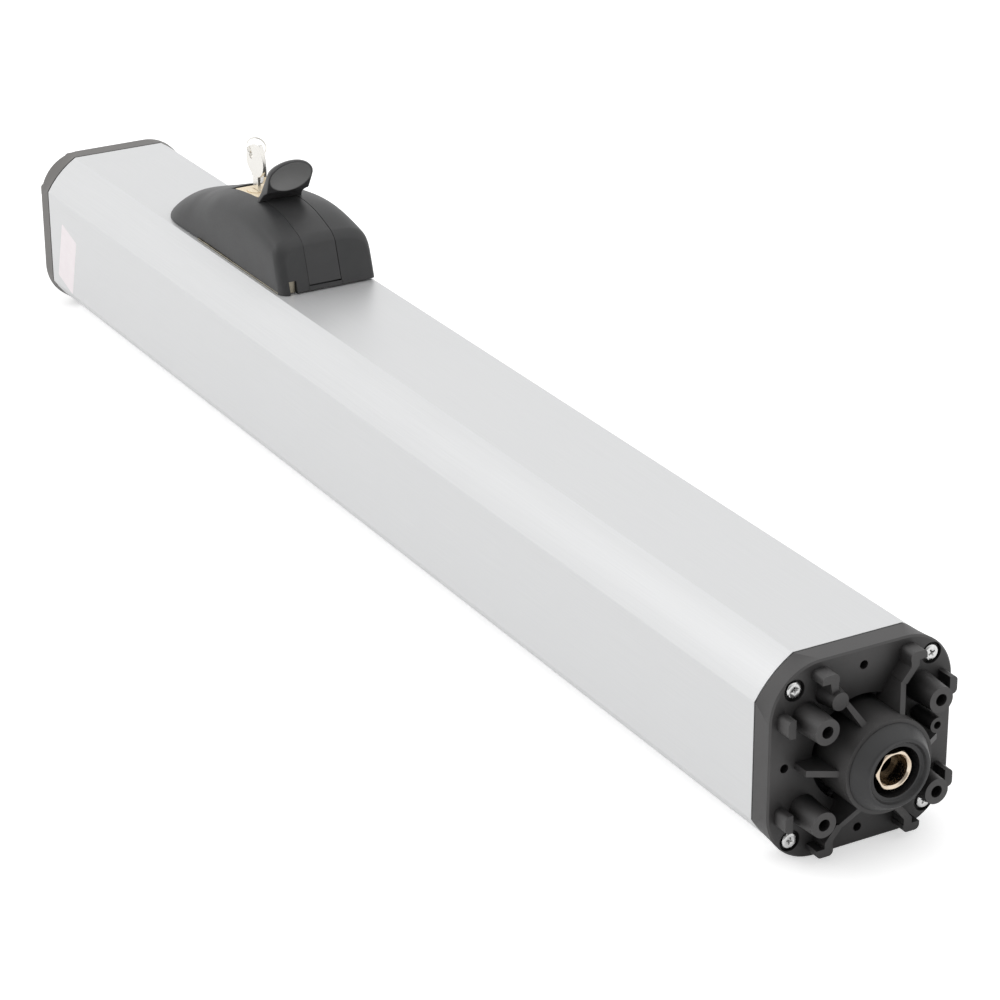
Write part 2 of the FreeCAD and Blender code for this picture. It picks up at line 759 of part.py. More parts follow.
def make_ram():
    ring("cylinder_tube", "cylinder_bore_radius", "cylinder_radius", "0",
         f"{FRONT_JOINT} - gland_flange_rear - {TUBE_REAR}", TUBE_REAR)
    groove = "(cylinder_bore_radius - running_gap - piston_seal_depth)"
    seal_from = "((piston_length - piston_seal_width) / 2)"
    turned("piston", [
        ("0", "piston_tail_radius + thread_gap"), ("piston_length", "piston_tail_radius + thread_gap"),
        ("piston_length", "cylinder_bore_radius - running_gap"),
        (f"{seal_from} + piston_seal_width", "cylinder_bore_radius - running_gap"),
        (f"{seal_from} + piston_seal_width", groove), (seal_from, groove),
        (seal_from, "cylinder_bore_radius - running_gap"),
        ("0", "cylinder_bore_radius - running_gap")], PISTON_REAR)
    ring("piston_seal", f"{groove} + thread_gap", "cylinder_bore_radius - running_gap / 2",
         f"{seal_from} + thread_gap", "piston_seal_width - 2 * thread_gap", PISTON_REAR)
    nut = new_body("piston_nut", x=f"{PISTON_REAR} - piston_nut_length")
    face = hexagon(new_sketch(nut, "YZ"), "piston_nut_flats")
    pad(nut, circle(face, "piston_tail_radius + thread_gap"), "piston_nut_length")
    piece(nut)
    ring("stop_tube", "rod_radius + thread_gap", "stop_tube_radius", "0", "stop_tube_length", PISTON_FRONT)
    length = f"({ROD_FRONT} - {PISTON_FRONT})"
    tail = "(piston_length + piston_nut_length)"
    turned("piston_rod", [
        (f"-{tail}", "0"), (f"{length} - rod_stud_length - 1", "0"),
        (f"{length} - rod_stud_length - 1", "rod_stud_radius + thread_gap"),
        (length, "rod_stud_radius + thread_gap"), (length, "rod_radius"), ("0", "rod_radius"),
        ("0", "piston_tail_radius"), (f"-{tail}", "piston_tail_radius")], PISTON_FRONT)
    end = new_body("rod_end", x=ROD_FRONT)
    pad(end, hexagon(new_sketch(end, "YZ"), "hex_flats"), "hex_length")
    pad(end, circle(new_sketch(end, "YZ"), "rod_stud_radius"), "rod_stud_length", back=True)
    pocket(end, circle(new_sketch(end, "YZ", "hex_length"), "guide_bore_radius"), "guide_bore_depth")
    thread = circle(new_sketch(end, "YZ", "hex_length"), "rod_thread_radius")
    pocket(end, thread, "guide_bore_depth + rod_thread_depth")
    corner = "hex_flats / sqrt(3)"
    past = "hex_length + 0.1"
    spin(end, [("hex_length - hex_chamfer", f"{corner} + 1"), ("hex_length - hex_chamfer", corner),
               (past, "hex_flats / 2 - 0.2"), (past, f"{corner} + 1")], "Groove")
    spin(end, [("hex_length - hex_chamfer", "0"), (past, "0"), (past, "guide_bore_radius + hex_chamfer + 0.1"),
               ("hex_length - hex_chamfer", "guide_bore_radius")], "Groove")
    piece(end)


# Valve block with its ports, pipe and relief screws
def make_valve_block():
    body = new_body("valve_block", x="block_rear")
    length = "(block_front - block_rear)"
    section = eight_sided(new_sketch(body, "YZ"), "block_half", "block_corner", None)
    pad(body, section, length)
    pocket(body, circle(new_sketch(body, "YZ", length), "cylinder_radius + thread_gap"), "tube_seat_depth")
    pocket(body, circle(new_sketch(body, "YZ", length), "oil_way_radius"), "tube_seat_depth + oil_way_depth")
    pipe_port = circle(new_sketch(body, "YZ", length), "pipe_radius + thread_gap", "0", "-pipe_drop")
    pocket(body, pipe_port, "pipe_socket")
    journals = circle(new_sketch(body, "YZ"), "shaft_radius + running_gap")
    circle(journals, "idler_radius + running_gap", "0", "-gear_centres")
    pocket(body, journals, "journal_depth + 2", back=True)
    bolts = new_sketch(body, "YZ")
    for y, z in pump_bolt_places():
        circle(bolts, "pump_bolt_radius + thread_gap", y, z)
    pocket(body, bolts, "pump_bolt_grip + pump_bolt_sink - pump_body_length - pump_cover_length + 2", back=True)
    valve_bore = new_sketch(body, "XY", "block_half")
    circle(valve_bore, "spindle_radius + running_gap", f"{SPINDLE_X} - block_rear")
    pocket(body, valve_bore, "block_half - spindle_foot_z + 2")
    relief = new_sketch(body, "XY", "block_half")
    for y in ("relief_y", "-relief_y"):
        circle(relief, "relief_radius + thread_gap", "relief_x", y)
    pocket(body, relief, "relief_length + 2")
    piece(body)
    screws = []
    for at, y in enumerate(("relief_y", "-relief_y"), start=1):
        screw = new_body(f"relief_screw_{at}", "block_rear + relief_x", y, "block_half - 1")
        pad(screw, circle(new_sketch(screw, "XY"), "relief_radius"), "relief_length", back=True)
        pocket(screw, hexagon(new_sketch(screw, "XY"), "relief_key_flats"), "relief_key_depth")
        screws.append(screw)
    group("relief_screws", screws)
    ring("delivery_pipe", "pipe_bore_radius", "pipe_radius", "seat_gap - pipe_socket",
         f"{FRONT_JOINT} - gland_flange_rear - block_front + 2 * pipe_socket - 2 * seat_gap",
         "block_front", "0", "-pipe_drop")


def pump_bolt_places():
    return [("pump_bolt_y", "pump_bolt_top"), ("-pump_bolt_y", "pump_bolt_top"),
            ("-pump_bolt_y", "-pump_bolt_bottom"), ("pump_bolt_y", "-pump_bolt_bottom")]


# Gear pump: body, cover, two meshed gears, bolts and strainer
PUMP_BODY_REAR = "(block_rear - pump_body_length)"
PUMP_COVER_REAR = f"({PUMP_BODY_REAR} - pump_cover_length)"


def pump_plate(label, x, length, chamber_radius, idler_chamber_radius):
    body = new_body(label, x=x)
    section = new_sketch(body, "YZ")
    rectangle(section, "-pump_half_width", "pump_half_width", "-pump_bottom", "pump_top")
    pad(body, section, length)
    pocket(body, circle(new_sketch(body, "YZ"), chamber_radius), length, back=True)
    idler_chamber = circle(new_sketch(body, "YZ"), idler_chamber_radius, "0", "-gear_centres")
    pocket(body, idler_chamber, length, back=True)
    holes = new_sketch(body, "YZ")
    for y, z in pump_bolt_places():
        circle(holes, "pump_bolt_radius + thread_gap", y, z)
    pocket(body, holes, length, back=True)
    return body


def make_gear(label, z, bore):
    """One tooth on a blank, repeated round it; the idler gear is turned half a tooth to mesh."""
    body = new_body(label, x=f"{PUMP_BODY_REAR} + gear_side_gap", z=z)
    width = "(pump_body_length - 2 * gear_side_gap)"
    blank = circle(new_sketch(body, "YZ"), "gear_root_radius")
    if bore:
        circle(blank, "shaft_radius + thread_gap")
    pad(body, blank, width)
    tooth_sketch = new_sketch(body, "YZ")
    pitch = "(gear_centres / 2)"
    outline(tooth_sketch, [("tooth_root_half", "gear_root_radius - 0.4"), ("tooth_pitch_half", pitch),
                           ("tooth_tip_half", "gear_tip_radius"), ("-tooth_tip_half", "gear_tip_radius"),
                           ("-tooth_pitch_half", pitch), ("-tooth_root_half", "gear_root_radius - 0.4")])
    tooth = pad(body, tooth_sketch, width)
    document.recompute()
    pattern = body.newObject("PartDesign::PolarPattern", f"{label}_teeth")
    pattern.Originals = [tooth]
    pattern.Axis = (tooth_sketch, ["N_Axis"])
    pattern.Angle = 360
    pattern.setExpression("Occurrences", bound("gear_teeth"))
    body.Tip = pattern
    if not bore:
        turn(body, (1, 0, 0), "180 / gear_teeth * mod(gear_teeth + 1, 2)")
        journal = circle(new_sketch(body, "YZ", "-journal_depth"), "idler_radius")
        pad(body, journal, f"{width} + 2 * journal_depth")
    return piece(body)


def make_pump():
    chamber = "gear_tip_radius + gear_tip_gap"
    piece(pump_plate("pump_body", PUMP_BODY_REAR, "pump_body_length", chamber, chamber))
    cover = pump_plate("pump_cover", PUMP_COVER_REAR, "pump_cover_length", "shaft_radius + running_gap",
                       "idler_radius + running_gap")
    sinks = new_sketch(cover, "YZ")
    for y, z in pump_bolt_places():
        circle(sinks, "pump_bolt_head + seat_gap", y, z)
    pocket(cover, sinks, "pump_bolt_sink", back=True)
    piece(cover)
    make_gear("drive_gear", "0", bore=True)
    make_gear("driven_gear", "-gear_centres", bore=False)
    bolts = []
    for at, (y, z) in enumerate(pump_bolt_places(), start=1):
        bolt = new_body(f"pump_bolt_{at}", f"{PUMP_COVER_REAR} + pump_bolt_sink", y, z)
        pad(bolt, circle(new_sketch(bolt, "YZ"), "pump_bolt_radius"), "pump_bolt_grip")
        pad(bolt, circle(new_sketch(bolt, "YZ"), "pump_bolt_head"), "pump_bolt_head_height", back=True)
        bolts.append(bolt)
    group("pump_bolts", bolts)
    strainer = new_body("oil_strainer", f"{PUMP_BODY_REAR} + pump_body_length / 2",
                        "-pump_half_width", "-strainer_z")
    cup = new_sketch(strainer, "XZ")
    pad(strainer, circle(circle(cup, "strainer_radius"), "strainer_radius - 1.5"), "strainer_length")
    mesh = circle(new_sketch(strainer, "XZ", "strainer_length - 2"), "strainer_radius - 1")
    pad(strainer, mesh, "2")
    piece(strainer)


# Electric motor: casing, flange, stator, windings, rotor, shaft and bearings
MOTOR_FLANGE_REAR = f"({PUMP_COVER_REAR} - motor_flange_length)"


def make_motor():
    floor = "(motor_rear + motor_end_wall)"
    turned("motor_casing", [
        ("motor_rear", "shaft_radius + 2"), (floor, "shaft_radius + 2"), (floor, "bearing_radius"),
        (f"{floor} + bearing_width", "bearing_radius"), (f"{floor} + bearing_width", "bearing_housing"),
        (floor, "bearing_housing"), (floor, "motor_radius - motor_wall"),
        (MOTOR_FLANGE_REAR, "motor_radius - motor_wall"), (MOTOR_FLANGE_REAR, "motor_radius"),
        ("motor_rear", "motor_radius")])
    ring("motor_flange", "bearing_radius", "motor_radius", MOTOR_FLANGE_REAR, "motor_flange_length")
    step = f"({MOTOR_FLANGE_REAR} + bearing_width)"
    race = "bearing_radius - thread_gap"
    bore = "shaft_radius + running_gap"
    bearings = []
    for at, start in enumerate((floor, MOTOR_FLANGE_REAR), start=1):
        bearing = new_body(f"motor_bearing_{at}", x=start)
        spin(bearing, [("0", bore), ("bearing_width", bore), ("bearing_width", race), ("0", race)])
        bearings.append(bearing)
    group("motor_bearings", bearings)
    ring("shaft_seal", bore, race, step, f"{PUMP_COVER_REAR} - {step}")
    ring("motor_stator", "stator_bore", "motor_radius - motor_wall - thread_gap",
         "stator_start", "stator_length")
    coils = []
    for at, start in enumerate(("stator_start - winding_length", "stator_start + stator_length"), start=1):
        coil = new_body(f"winding_{at}", x=start)
        spin(coil, [("0", "winding_inner"), ("winding_length", "winding_inner"),
                    ("winding_length", "winding_outer"), ("0", "winding_outer")])
        coils.append(coil)
    group("motor_windings", coils)
    ring("motor_rotor", "shaft_radius + thread_gap", "rotor_radius", "stator_start", "stator_length")
    ring_length = f"block_rear + journal_depth - {floor} - 0.5"
    shaft = new_body("motor_shaft", x=f"{floor} + 0.5")
    pad(shaft, circle(new_sketch(shaft, "YZ"), "shaft_radius"), ring_length)
    piece(shaft)
    ring("motor_buffer", "buffer_inner", "buffer_outer", f"{REAR_JOINT} + spigot_depth",
         f"motor_rear - {REAR_JOINT} - spigot_depth")


# Rear end: threaded insert, cable gland with its nut, filler plug
def make_rear_end():
    mouth = "(hub_reach - 1)"
    insert = new_body("rear_insert", x=REAR_JOINT)
    turn(insert, (0, 0, 1), "180")
    plug = "hub_bore_radius - seat_gap"
    seat = "seat_radius - running_gap"
    spin(insert, [
        ("-spigot_depth", "0"), (f"{mouth} - insert_thread_depth", "0"),
        (f"{mouth} - insert_thread_depth", "insert_thread_radius"), (mouth, "insert_thread_radius"),
        (mouth, plug), ("seat_depth - seat_gap", plug), ("seat_depth - seat_gap", seat),
        ("-spigot_depth", seat)])
    piece(insert)
    inner = "-(spigot_depth + gland_inner_length)"
    body = turn(new_body("cable_gland", REAR_JOINT, "0", "-gland_z"), (0, 0, 1), "180")
    thread = "gland_thread_radius - thread_gap"
    spin(body, [(inner, "cable_radius"), ("cap_depth + gland_hex_length", "cable_radius"),
                ("cap_depth + gland_hex_length", thread), (inner, thread)])
    collar = hexagon(new_sketch(body, "YZ", "cap_depth"), "gland_flats")
    pad(body, circle(collar, "cable_radius + 1"), "gland_hex_length")
    piece(body)
    nut = turn(new_body("gland_nut", REAR_JOINT, "0", "-gland_z"), (0, 0, 1), "180")
    start = "(cap_depth + gland_hex_length)"
    spin(nut, [(start, "cable_radius"), (f"{start} + gland_nut_length", "cable_radius"),
               (f"{start} + gland_nut_length", "gland_nut_radius - 2"),
               (f"{start} + gland_nut_length - 2", "gland_nut_radius"), (start, "gland_nut_radius")])
    piece(nut)
    plug_body = turn(new_body("filler_plug", REAR_JOINT, "0", "filler_z"), (0, 0, 1), "180")
    thread = "filler_thread_radius - thread_gap"
    spin(plug_body, [("0", "0"), ("cap_depth + filler_head_height", "0"),
                     ("cap_depth + filler_head_height", "filler_head_radius - 1"),
                     ("cap_depth + filler_head_height - 1", "filler_head_radius"),
                     ("cap_depth", "filler_head_radius"), ("cap_depth", thread), ("0", thread)])
    key = hexagon(new_sketch(plug_body, "YZ", "cap_depth + filler_head_height"), "filler_key_flats")
    pocket(plug_body, key, "filler_head_height - 0.5")
    piece(plug_body)


# Release cover: one lofted form, from which the shell and the lever's strap are cut.
# Each station gives shares of the cover's length, half width, crest and shoulder height.
HOOD_STATIONS = [
    (0.000, 1.000, 0.675, 0.636),
    (0.071, 0.996, 0.800, 0.748),
    (0.142, 0.991, 0.922, 0.831),
    (0.213, 0.986, 0.990, 0.878),
    (0.284, 0.981, 1.000, 0.888),
    (0.355, 0.974, 0.979, 0.865),
    (0.426, 0.965, 0.945, 0.826),
    (0.497, 0.956, 0.888, 0.764),
    (0.568, 0.946, 0.787, 0.655),
    (0.640, 0.932, 0.665, 0.522),
    (0.711, 0.912, 0.551, 0.403),
    (0.782, 0.877, 0.442, 0.294),
    (0.853, 0.793, 0.327, 0.197),
    (0.924, 0.526, 0.192, 0.101),
    (0.995, 0.105, 0.036, 0.021),
]


def hood_form(label, inset, stations, base):
    """The cover's outer form, or the space a wall's thickness inside it."""
    body = new_body(label, x=HOOD_FRONT, z=TOP)
    sections = []
    for along, across, crest, shoulder in stations:
        half = f"(hood_half_width * {across} - {inset})"
        edge = f"(hood_height * {shoulder} - {inset})"
        rise = f"(hood_height * ({crest} - {shoulder}))"
        corner = f"(({edge} - ({base})) * hood_corner_share)"
        inner = f"({half} - {corner})"
        crown = f"({inner} ^ 2 + {rise} ^ 2) / (2 * {rise})"
        sketch = new_sketch(body, "YZ", f"-hood_length * {along}")
        outline(sketch, [(f"-{half}", base), (half, base), (half, f"{edge} - {corner}", corner),
                         (inner, edge, crown), (f"-{inner}", edge, corner), (f"-{half}", f"{edge} - {corner}")])
        sections.append(sketch)
    form = body.newObject("PartDesign::AdditiveLoft", f"{label}_loft")
    form.Profile = sections[0]
    form.Sections = sections[1:]
    lean = "(hood_front_lean / hood_front_height)"
    front = outline(new_sketch(body, "XZ"), [
        (f"2 * {lean} - {inset}", "-2"), ("30", "-2"), ("30", "hood_height * 2"),
        (f"-hood_height * 2 * {lean} - {inset}", "hood_height * 2")])
    pocket(body, front, "hood_half_width * 3", both_sides=True)
    return body


def box(low_x, high_x, low_y, high_y, low_z, high_z):
    """A block placed in the cover's frame."""
    block = document.addObject("Part::Box", "block")
    block.setExpression("Length", bound(f"{high_x} - ({low_x})"))
    block.setExpression("Width", bound(f"{high_y} - ({low_y})"))
    block.setExpression("Height", bound(f"{high_z} - ({low_z})"))
    return place(block, f"{HOOD_FRONT} + ({low_x})", low_y, f"{TOP} + ({low_z})")


def cross_pin(label, radius, half_length):
    """A round bar across the cover on the lever's pivot."""
    bar = document.addObject("Part::Cylinder", label)
    bar.Label = label
    bar.setExpression("Radius", bound(radius))
    bar.setExpression("Height", bound(f"2 * ({half_length})"))
    bar.Placement = FreeCAD.Placement(Vector(), FreeCAD.Rotation(Vector(1, 0, 0), -90))
    return place(bar, f"{HOOD_FRONT} - pivot_setback", f"-({half_length})", f"{TOP} + pivot_height")


def fused(label, members):
    whole = document.addObject("Part::MultiFuse", label)
    whole.Label = label
    whole.Shapes = members
    return whole


def cut(label, base, tool):
    rest = document.addObject("Part::Cut", label)
    rest.Label = label
    rest.Base = base
    rest.Tool = tool
    return rest


def make_hood():
    outer = hood_form("hood_outer", "0", HOOD_STATIONS, "hood_lift")
    core = hood_form("hood_core", "hood_wall", HOOD_STATIONS[:-1], "-1")
    slot = box("-slot_rear", "1", "-slot_half_width", "slot_half_width", "-1", "hood_height * 2")
    notch = box("-(bracket_flange_end + 0.5)", "-(bracket_flange_start - 0.5)", "-hood_half_width * 1.5",
                "hood_half_width * 1.5", "-1", "flange_notch_height")
    tools = [core, slot, notch]
    for low, high in (("ear_inner", "ear_outer"), ("-ear_outer", "-ear_inner")):
        tools.append(box("-ear_rear", "1", f"{low} - ear_gap", f"{high} + ear_gap",
                         "-1", "ear_nose_height + ear_gap"))
    tools.append(cross_pin("pin_way", "pin_radius + pin_way_gap", "ear_outer + pin_way_gap"))
    piece(cut("hood_shell", outer, fused("hood_tools", tools)))
    return outer


def make_bracket():
    body = new_body("hood_bracket", x=HOOD_FRONT, z=TOP)
    plate = rectangle(new_sketch(body, "XY"), "-bracket_length", "-bracket_front", "-bracket_half_width",
                      "bracket_half_width")
    pad(body, plate, "bracket_thickness")
    flanges = rectangle(new_sketch(body, "XY"), "-bracket_flange_end", "-bracket_flange_start",
                        "-bracket_flange_half", "bracket_flange_half")
    pad(body, flanges, "bracket_thickness")
    middle = "(ear_inner + ear_outer) / 2"
    for offset in (middle, f"-{middle}"):
        ear = new_sketch(body, "XZ", offset)
        nose = "(ear_front + ear_nose_lean)"
        outline(ear, [("-ear_rear", "bracket_thickness / 2"), ("-ear_front", "bracket_thickness / 2"),
                      (f"-{nose}", "ear_nose_height"), (f"-({nose} + ear_nose_length)", "ear_nose_height"),
                      (f"-({nose} + 1.4 * ear_nose_length)", "ear_height"), ("-ear_rear", "ear_height")])
        circle(ear, "pin_radius + thread_gap", "-pivot_setback", "pivot_height")
        pad(body, ear, "ear_outer - ear_inner", both_sides=True)
    holes = circle(new_sketch(body, "XY"), "spindle_neck_radius + 0.6", "-spindle_setback")
    for x in bracket_screw_places():
        for y in ("bracket_screw_y", "-bracket_screw_y"):
            circle(holes, "screw_clear_radius", f"-{x}", y)
    pocket(body, holes, "bracket_thickness", back=True)
    piece(body)
    screws = []
    for x in bracket_screw_places():
        for y in ("bracket_screw_y", "-bracket_screw_y"):
            screw = new_body("bracket_screw", f"{HOOD_FRONT} - {x}", y, f"{TOP} + bracket_thickness")
            pad(screw, circle(new_sketch(screw, "XY"), "screw_head_radius"), "screw_head_height")
            shank = circle(new_sketch(screw, "XY"), "tapped_radius - thread_gap")
            pad(screw, shank, "profile_wall + bracket_thickness + 2", back=True)
            screws.append(screw)
    group("bracket_screws", screws)


def make_lever(outer):
    """The lever's strap is the part of the cover's form that lies in its slot."""
    core = hood_form("strap_core", "lever_thickness", HOOD_STATIONS[:-1], "-1")
    blank = box("-lever_rear", "1", "-lever_half_width", "lever_half_width",
                "pivot_height", "hood_height * 2")
    strap = document.addObject("Part::Common", "strap")
    strap.Base = cut("strap_shell", outer, core)
    strap.Tool = blank
    knuckle = cross_pin("knuckle", "knuckle_radius", "lever_half_width")
    web = box("-(pivot_setback + knuckle_radius / 2)", "-lever_thickness",
              "-lever_half_width", "lever_half_width", "pivot_height", "pivot_height + knuckle_web_height")
    members = [strap, knuckle, web, make_paddle()]
    for low, high in (("prong_inner", "prong_outer"), ("-prong_outer", "-prong_inner")):
        members.append(box("-(pivot_setback + prong_radius)", "-pivot_setback", low, high,
                           "pivot_height - prong_thickness", "pivot_height"))
    bore = cross_pin("knuckle_bore", "pin_radius + running_gap", "lever_half_width + 1")
    piece(cut("release_lever", fused("lever_solid", members), bore))
    piece(cross_pin("lever_pin", "pin_radius", "ear_outer + 0.4"))


def make_paddle():
    """A thumb paddle that leans forward: an oval plate with a dished face."""
    body = new_body("paddle_plate", f"{HOOD_FRONT} - paddle_setback", "0", f"{TOP} + paddle_foot")
    turn(body, (0, 1, 0), "paddle_lean")
    top_arc = ("((paddle_wide_half ^ 2 + (paddle_height - paddle_wide_height) ^ 2) "
               "/ (2 * (paddle_height - paddle_wide_height)))")
    face = new_sketch(body, "YZ", "-paddle_thickness / 2")
    outline(face, [("-lever_half_width", "0"), ("lever_half_width", "0"),
                   ("lever_half_width", "paddle_shoulder"), ("paddle_base_half", "paddle_shoulder"),
                   ("paddle_wide_half", "paddle_wide_height", top_arc),
                   ("-paddle_wide_half", "paddle_wide_height"), ("-paddle_base_half", "paddle_shoulder"),
                   ("-lever_half_width", "paddle_shoulder")])
    plate = pad(body, face, "paddle_thickness")
    round_edges(body, plate, "paddle_edge", lambda middle: middle.z > number("paddle_shoulder") + 1)
    dish = document.addObject("Part::Sphere", "dish")
    dish.setExpression("Radius", bound("dish_radius"))
    reach = "(dish_radius - dish_depth + paddle_thickness / 2)"
    along = f"{reach} * cos(paddle_lean) + dish_height * sin(paddle_lean)"
    upwards = f"dish_height * cos(paddle_lean) - {reach} * sin(paddle_lean)"
    place(dish, f"{HOOD_FRONT} - paddle_setback + {along}", "0", f"{TOP} + paddle_foot + {upwards}")
    return cut("paddle", body, dish)


def make_spindle():
    body = new_body("release_spindle", x=SPINDLE_X)
    head = f"({TOP} + pivot_height + head_gap)"
    pad(body, circle(new_sketch(body, "XY", "spindle_foot_z"), "spindle_radius"),
        "spindle_shoulder_z - spindle_foot_z")
    pad(body, circle(new_sketch(body, "XY", "spindle_shoulder_z - 1"), "spindle_neck_radius"),
        f"{head} - spindle_shoulder_z + 2")
    pad(body, circle(new_sketch(body, "XY", head), "spindle_head_radius"), "spindle_head_height")
    piece(body)


# Lock, key, ring and spare key, placed in the cover's frame
KEY_X = f"({HOOD_FRONT} - key_setback)"
LOCK_FACE = f"({TOP} + lock_top)"
KEY_HOLE_RISE = "(bow_height - lock_top + key_hole_z)"


def make_lock():
    body = new_body("lock_body", x=HOOD_FRONT, z=TOP)
    block = rectangle(new_sketch(body, "XY", "bracket_thickness"), "-(lock_front + lock_length)",
                      "-lock_front", "-lock_half_width", "lock_half_width")
    pad(body, block, "lock_top - bracket_thickness")
    bore = circle(new_sketch(body, "XY", "lock_top"), "plug_radius + running_gap", "-key_setback")
    pocket(body, bore, "plug_depth")
    piece(body)
    plug = new_body("lock_plug", x=KEY_X, z=LOCK_FACE)
    pad(plug, circle(new_sketch(plug, "XY", "plug_stand_out"), "plug_radius"),
        "plug_depth + plug_stand_out - seat_gap", back=True)
    keyway = rectangle(new_sketch(plug, "XY", "plug_stand_out"), "-keyway_length / 2", "keyway_length / 2",
                       "-keyway_width / 2", "keyway_width / 2")
    pocket(plug, keyway, "keyway_depth")
    piece(plug)


def oval(sketch, half_x, half_y, x, y):
    """Four arcs that meet on the ellipse's diagonals."""
    step, fall = "0.7071", "0.2929"
    flat = f"((({half_x}) * {step}) ^ 2 + (({half_y}) * {fall}) ^ 2) / (2 * ({half_y}) * {fall})"
    tight = f"((({half_y}) * {step}) ^ 2 + (({half_x}) * {fall}) ^ 2) / (2 * ({half_x}) * {fall})"
    left, right = f"({x}) - ({half_x}) * {step}", f"({x}) + ({half_x}) * {step}"
    low, high = f"({y}) - ({half_y}) * {step}", f"({y}) + ({half_y}) * {step}"
    return outline(sketch, [(left, low, flat), (right, low, tight), (right, high, flat), (left, high, tight)])


def make_key(label, blade):
    """Blade downwards from the lock face, oval bow above, all in the XZ plane."""
    body = new_body(label)
    stem = rectangle(new_sketch(body, "XZ"), "-blade_width / 2", "blade_width / 2", f"-({blade})",
                     "plug_stand_out + 0.6")
    pad(body, stem, "key_thickness", both_sides=True)
    neck = rectangle(new_sketch(body, "XZ"), "-neck_width / 2", "neck_width / 2", "0", "neck_top - lock_top")
    pad(body, neck, "key_thickness", both_sides=True)
    bow = oval(new_sketch(body, "XZ"), "bow_half_width", "bow_half_height", "0", "bow_height - lock_top")
    pad(body, bow, "key_thickness", both_sides=True)
    hole = circle(new_sketch(body, "XZ"), "key_hole_radius", "-key_hole_x", KEY_HOLE_RISE)
    pocket(body, hole, "key_thickness * 2", both_sides=True)
    return piece(body)


def make_keys():
    place(make_key("key", "blade_length"), KEY_X, "0", LOCK_FACE)
    depth = "sqrt(ring_radius ^ 2 - ring_chord_half ^ 2)"
    hole_x = f"({KEY_X} - key_hole_x)"
    hole_z = f"({LOCK_FACE} + {KEY_HOLE_RISE})"
    wire = document.addObject("Part::Torus", "key_ring")
    wire.Label = "key_ring"
    wire.setExpression("Radius1", bound("ring_radius"))
    wire.setExpression("Radius2", bound("ring_wire"))
    turn(wire, (0, 1, 0), "90 - ring_lean")
    place(wire, f"{hole_x} - ring_chord_half * sin(ring_lean)", depth,
          f"{hole_z} + ring_chord_half * cos(ring_lean)")
    piece(wire)
    spare = make_key("spare_key", "spare_blade_length")
    rear = FreeCAD.Rotation(Vector(0, 0, 1), number("spare_turn")).multVec(Vector(0, 1, 0))
    normal = rear.cross(Vector(0, 0, 1))
    blade = FreeCAD.Rotation(normal, -number("spare_drop")).multVec(rear)
    across = normal.cross(blade)
    aim = FreeCAD.Rotation(-across, normal, -blade, "ZXY")
    below = "(ring_chord_half - ring_radius * sin(spare_hang))"
    hang = Vector(number(f"{hole_x} - {below} * sin(ring_lean)"),
                  number(f"{depth} + ring_radius * cos(spare_hang)"),
                  number(f"{hole_z} + {below} * cos(ring_lean)"))
    hole = Vector(number("-key_hole_x"), 0, number(KEY_HOLE_RISE))
    spare.Placement = FreeCAD.Placement(hang - aim.multVec(hole), aim)


# Everything in building order, then the checks and the files
def make_operator():
    make_housing()
    make_cap("rear_cap", REAR_JOINT, rear=True)
    make_cap("front_cap", FRONT_JOINT)
    make_gasket("rear_gasket", REAR_JOINT, rear=True)
    make_gasket("front_gasket", FRONT_JOINT)
    sink = "cap_depth - counterbore_depth"
    make_cap_screws("rear_cap_screws", f"{REAR_JOINT} - ({sink})", rear=True)
    make_cap_screws("front_cap_screws", f"{FRONT_JOINT} + {sink}")
    make_front_end()
    make_ram()
    make_valve_block()
    make_pump()
    make_motor()
    make_rear_end()
    cover = make_hood()
    make_bracket()
    make_lever(cover)
    make_spindle()
    make_lock()
    make_keys()


def check_and_export():
    document.recompute()
    for item in document.Objects:
        if {"Invalid", "Error"} & set(item.State):
            raise RuntimeError(f"{item.Label} failed: {item.State}")
    for item in pieces:
        if item.Shape.isNull() or not item.Shape.isValid():
            raise RuntimeError(f"{item.Label} has no valid shape")
    os.makedirs("parts", exist_ok=True)
    for item in pieces:
        item.Shape.exportStep(f"parts/{item.Label}.step")
        bounds = item.Shape.BoundBox
        print(f"{item.Label:18s} solids {len(item.Shape.Solids)} faces {len(item.Shape.Faces):4d} "
              f"volume {item.Shape.Volume:10.0f} x {bounds.XMin:7.1f} {bounds.XMax:7.1f}")
    print(len(pieces), "nodes")


make_operator()
check_and_export()
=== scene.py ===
import bpy
import json
import math
from mathutils import Matrix, Vector

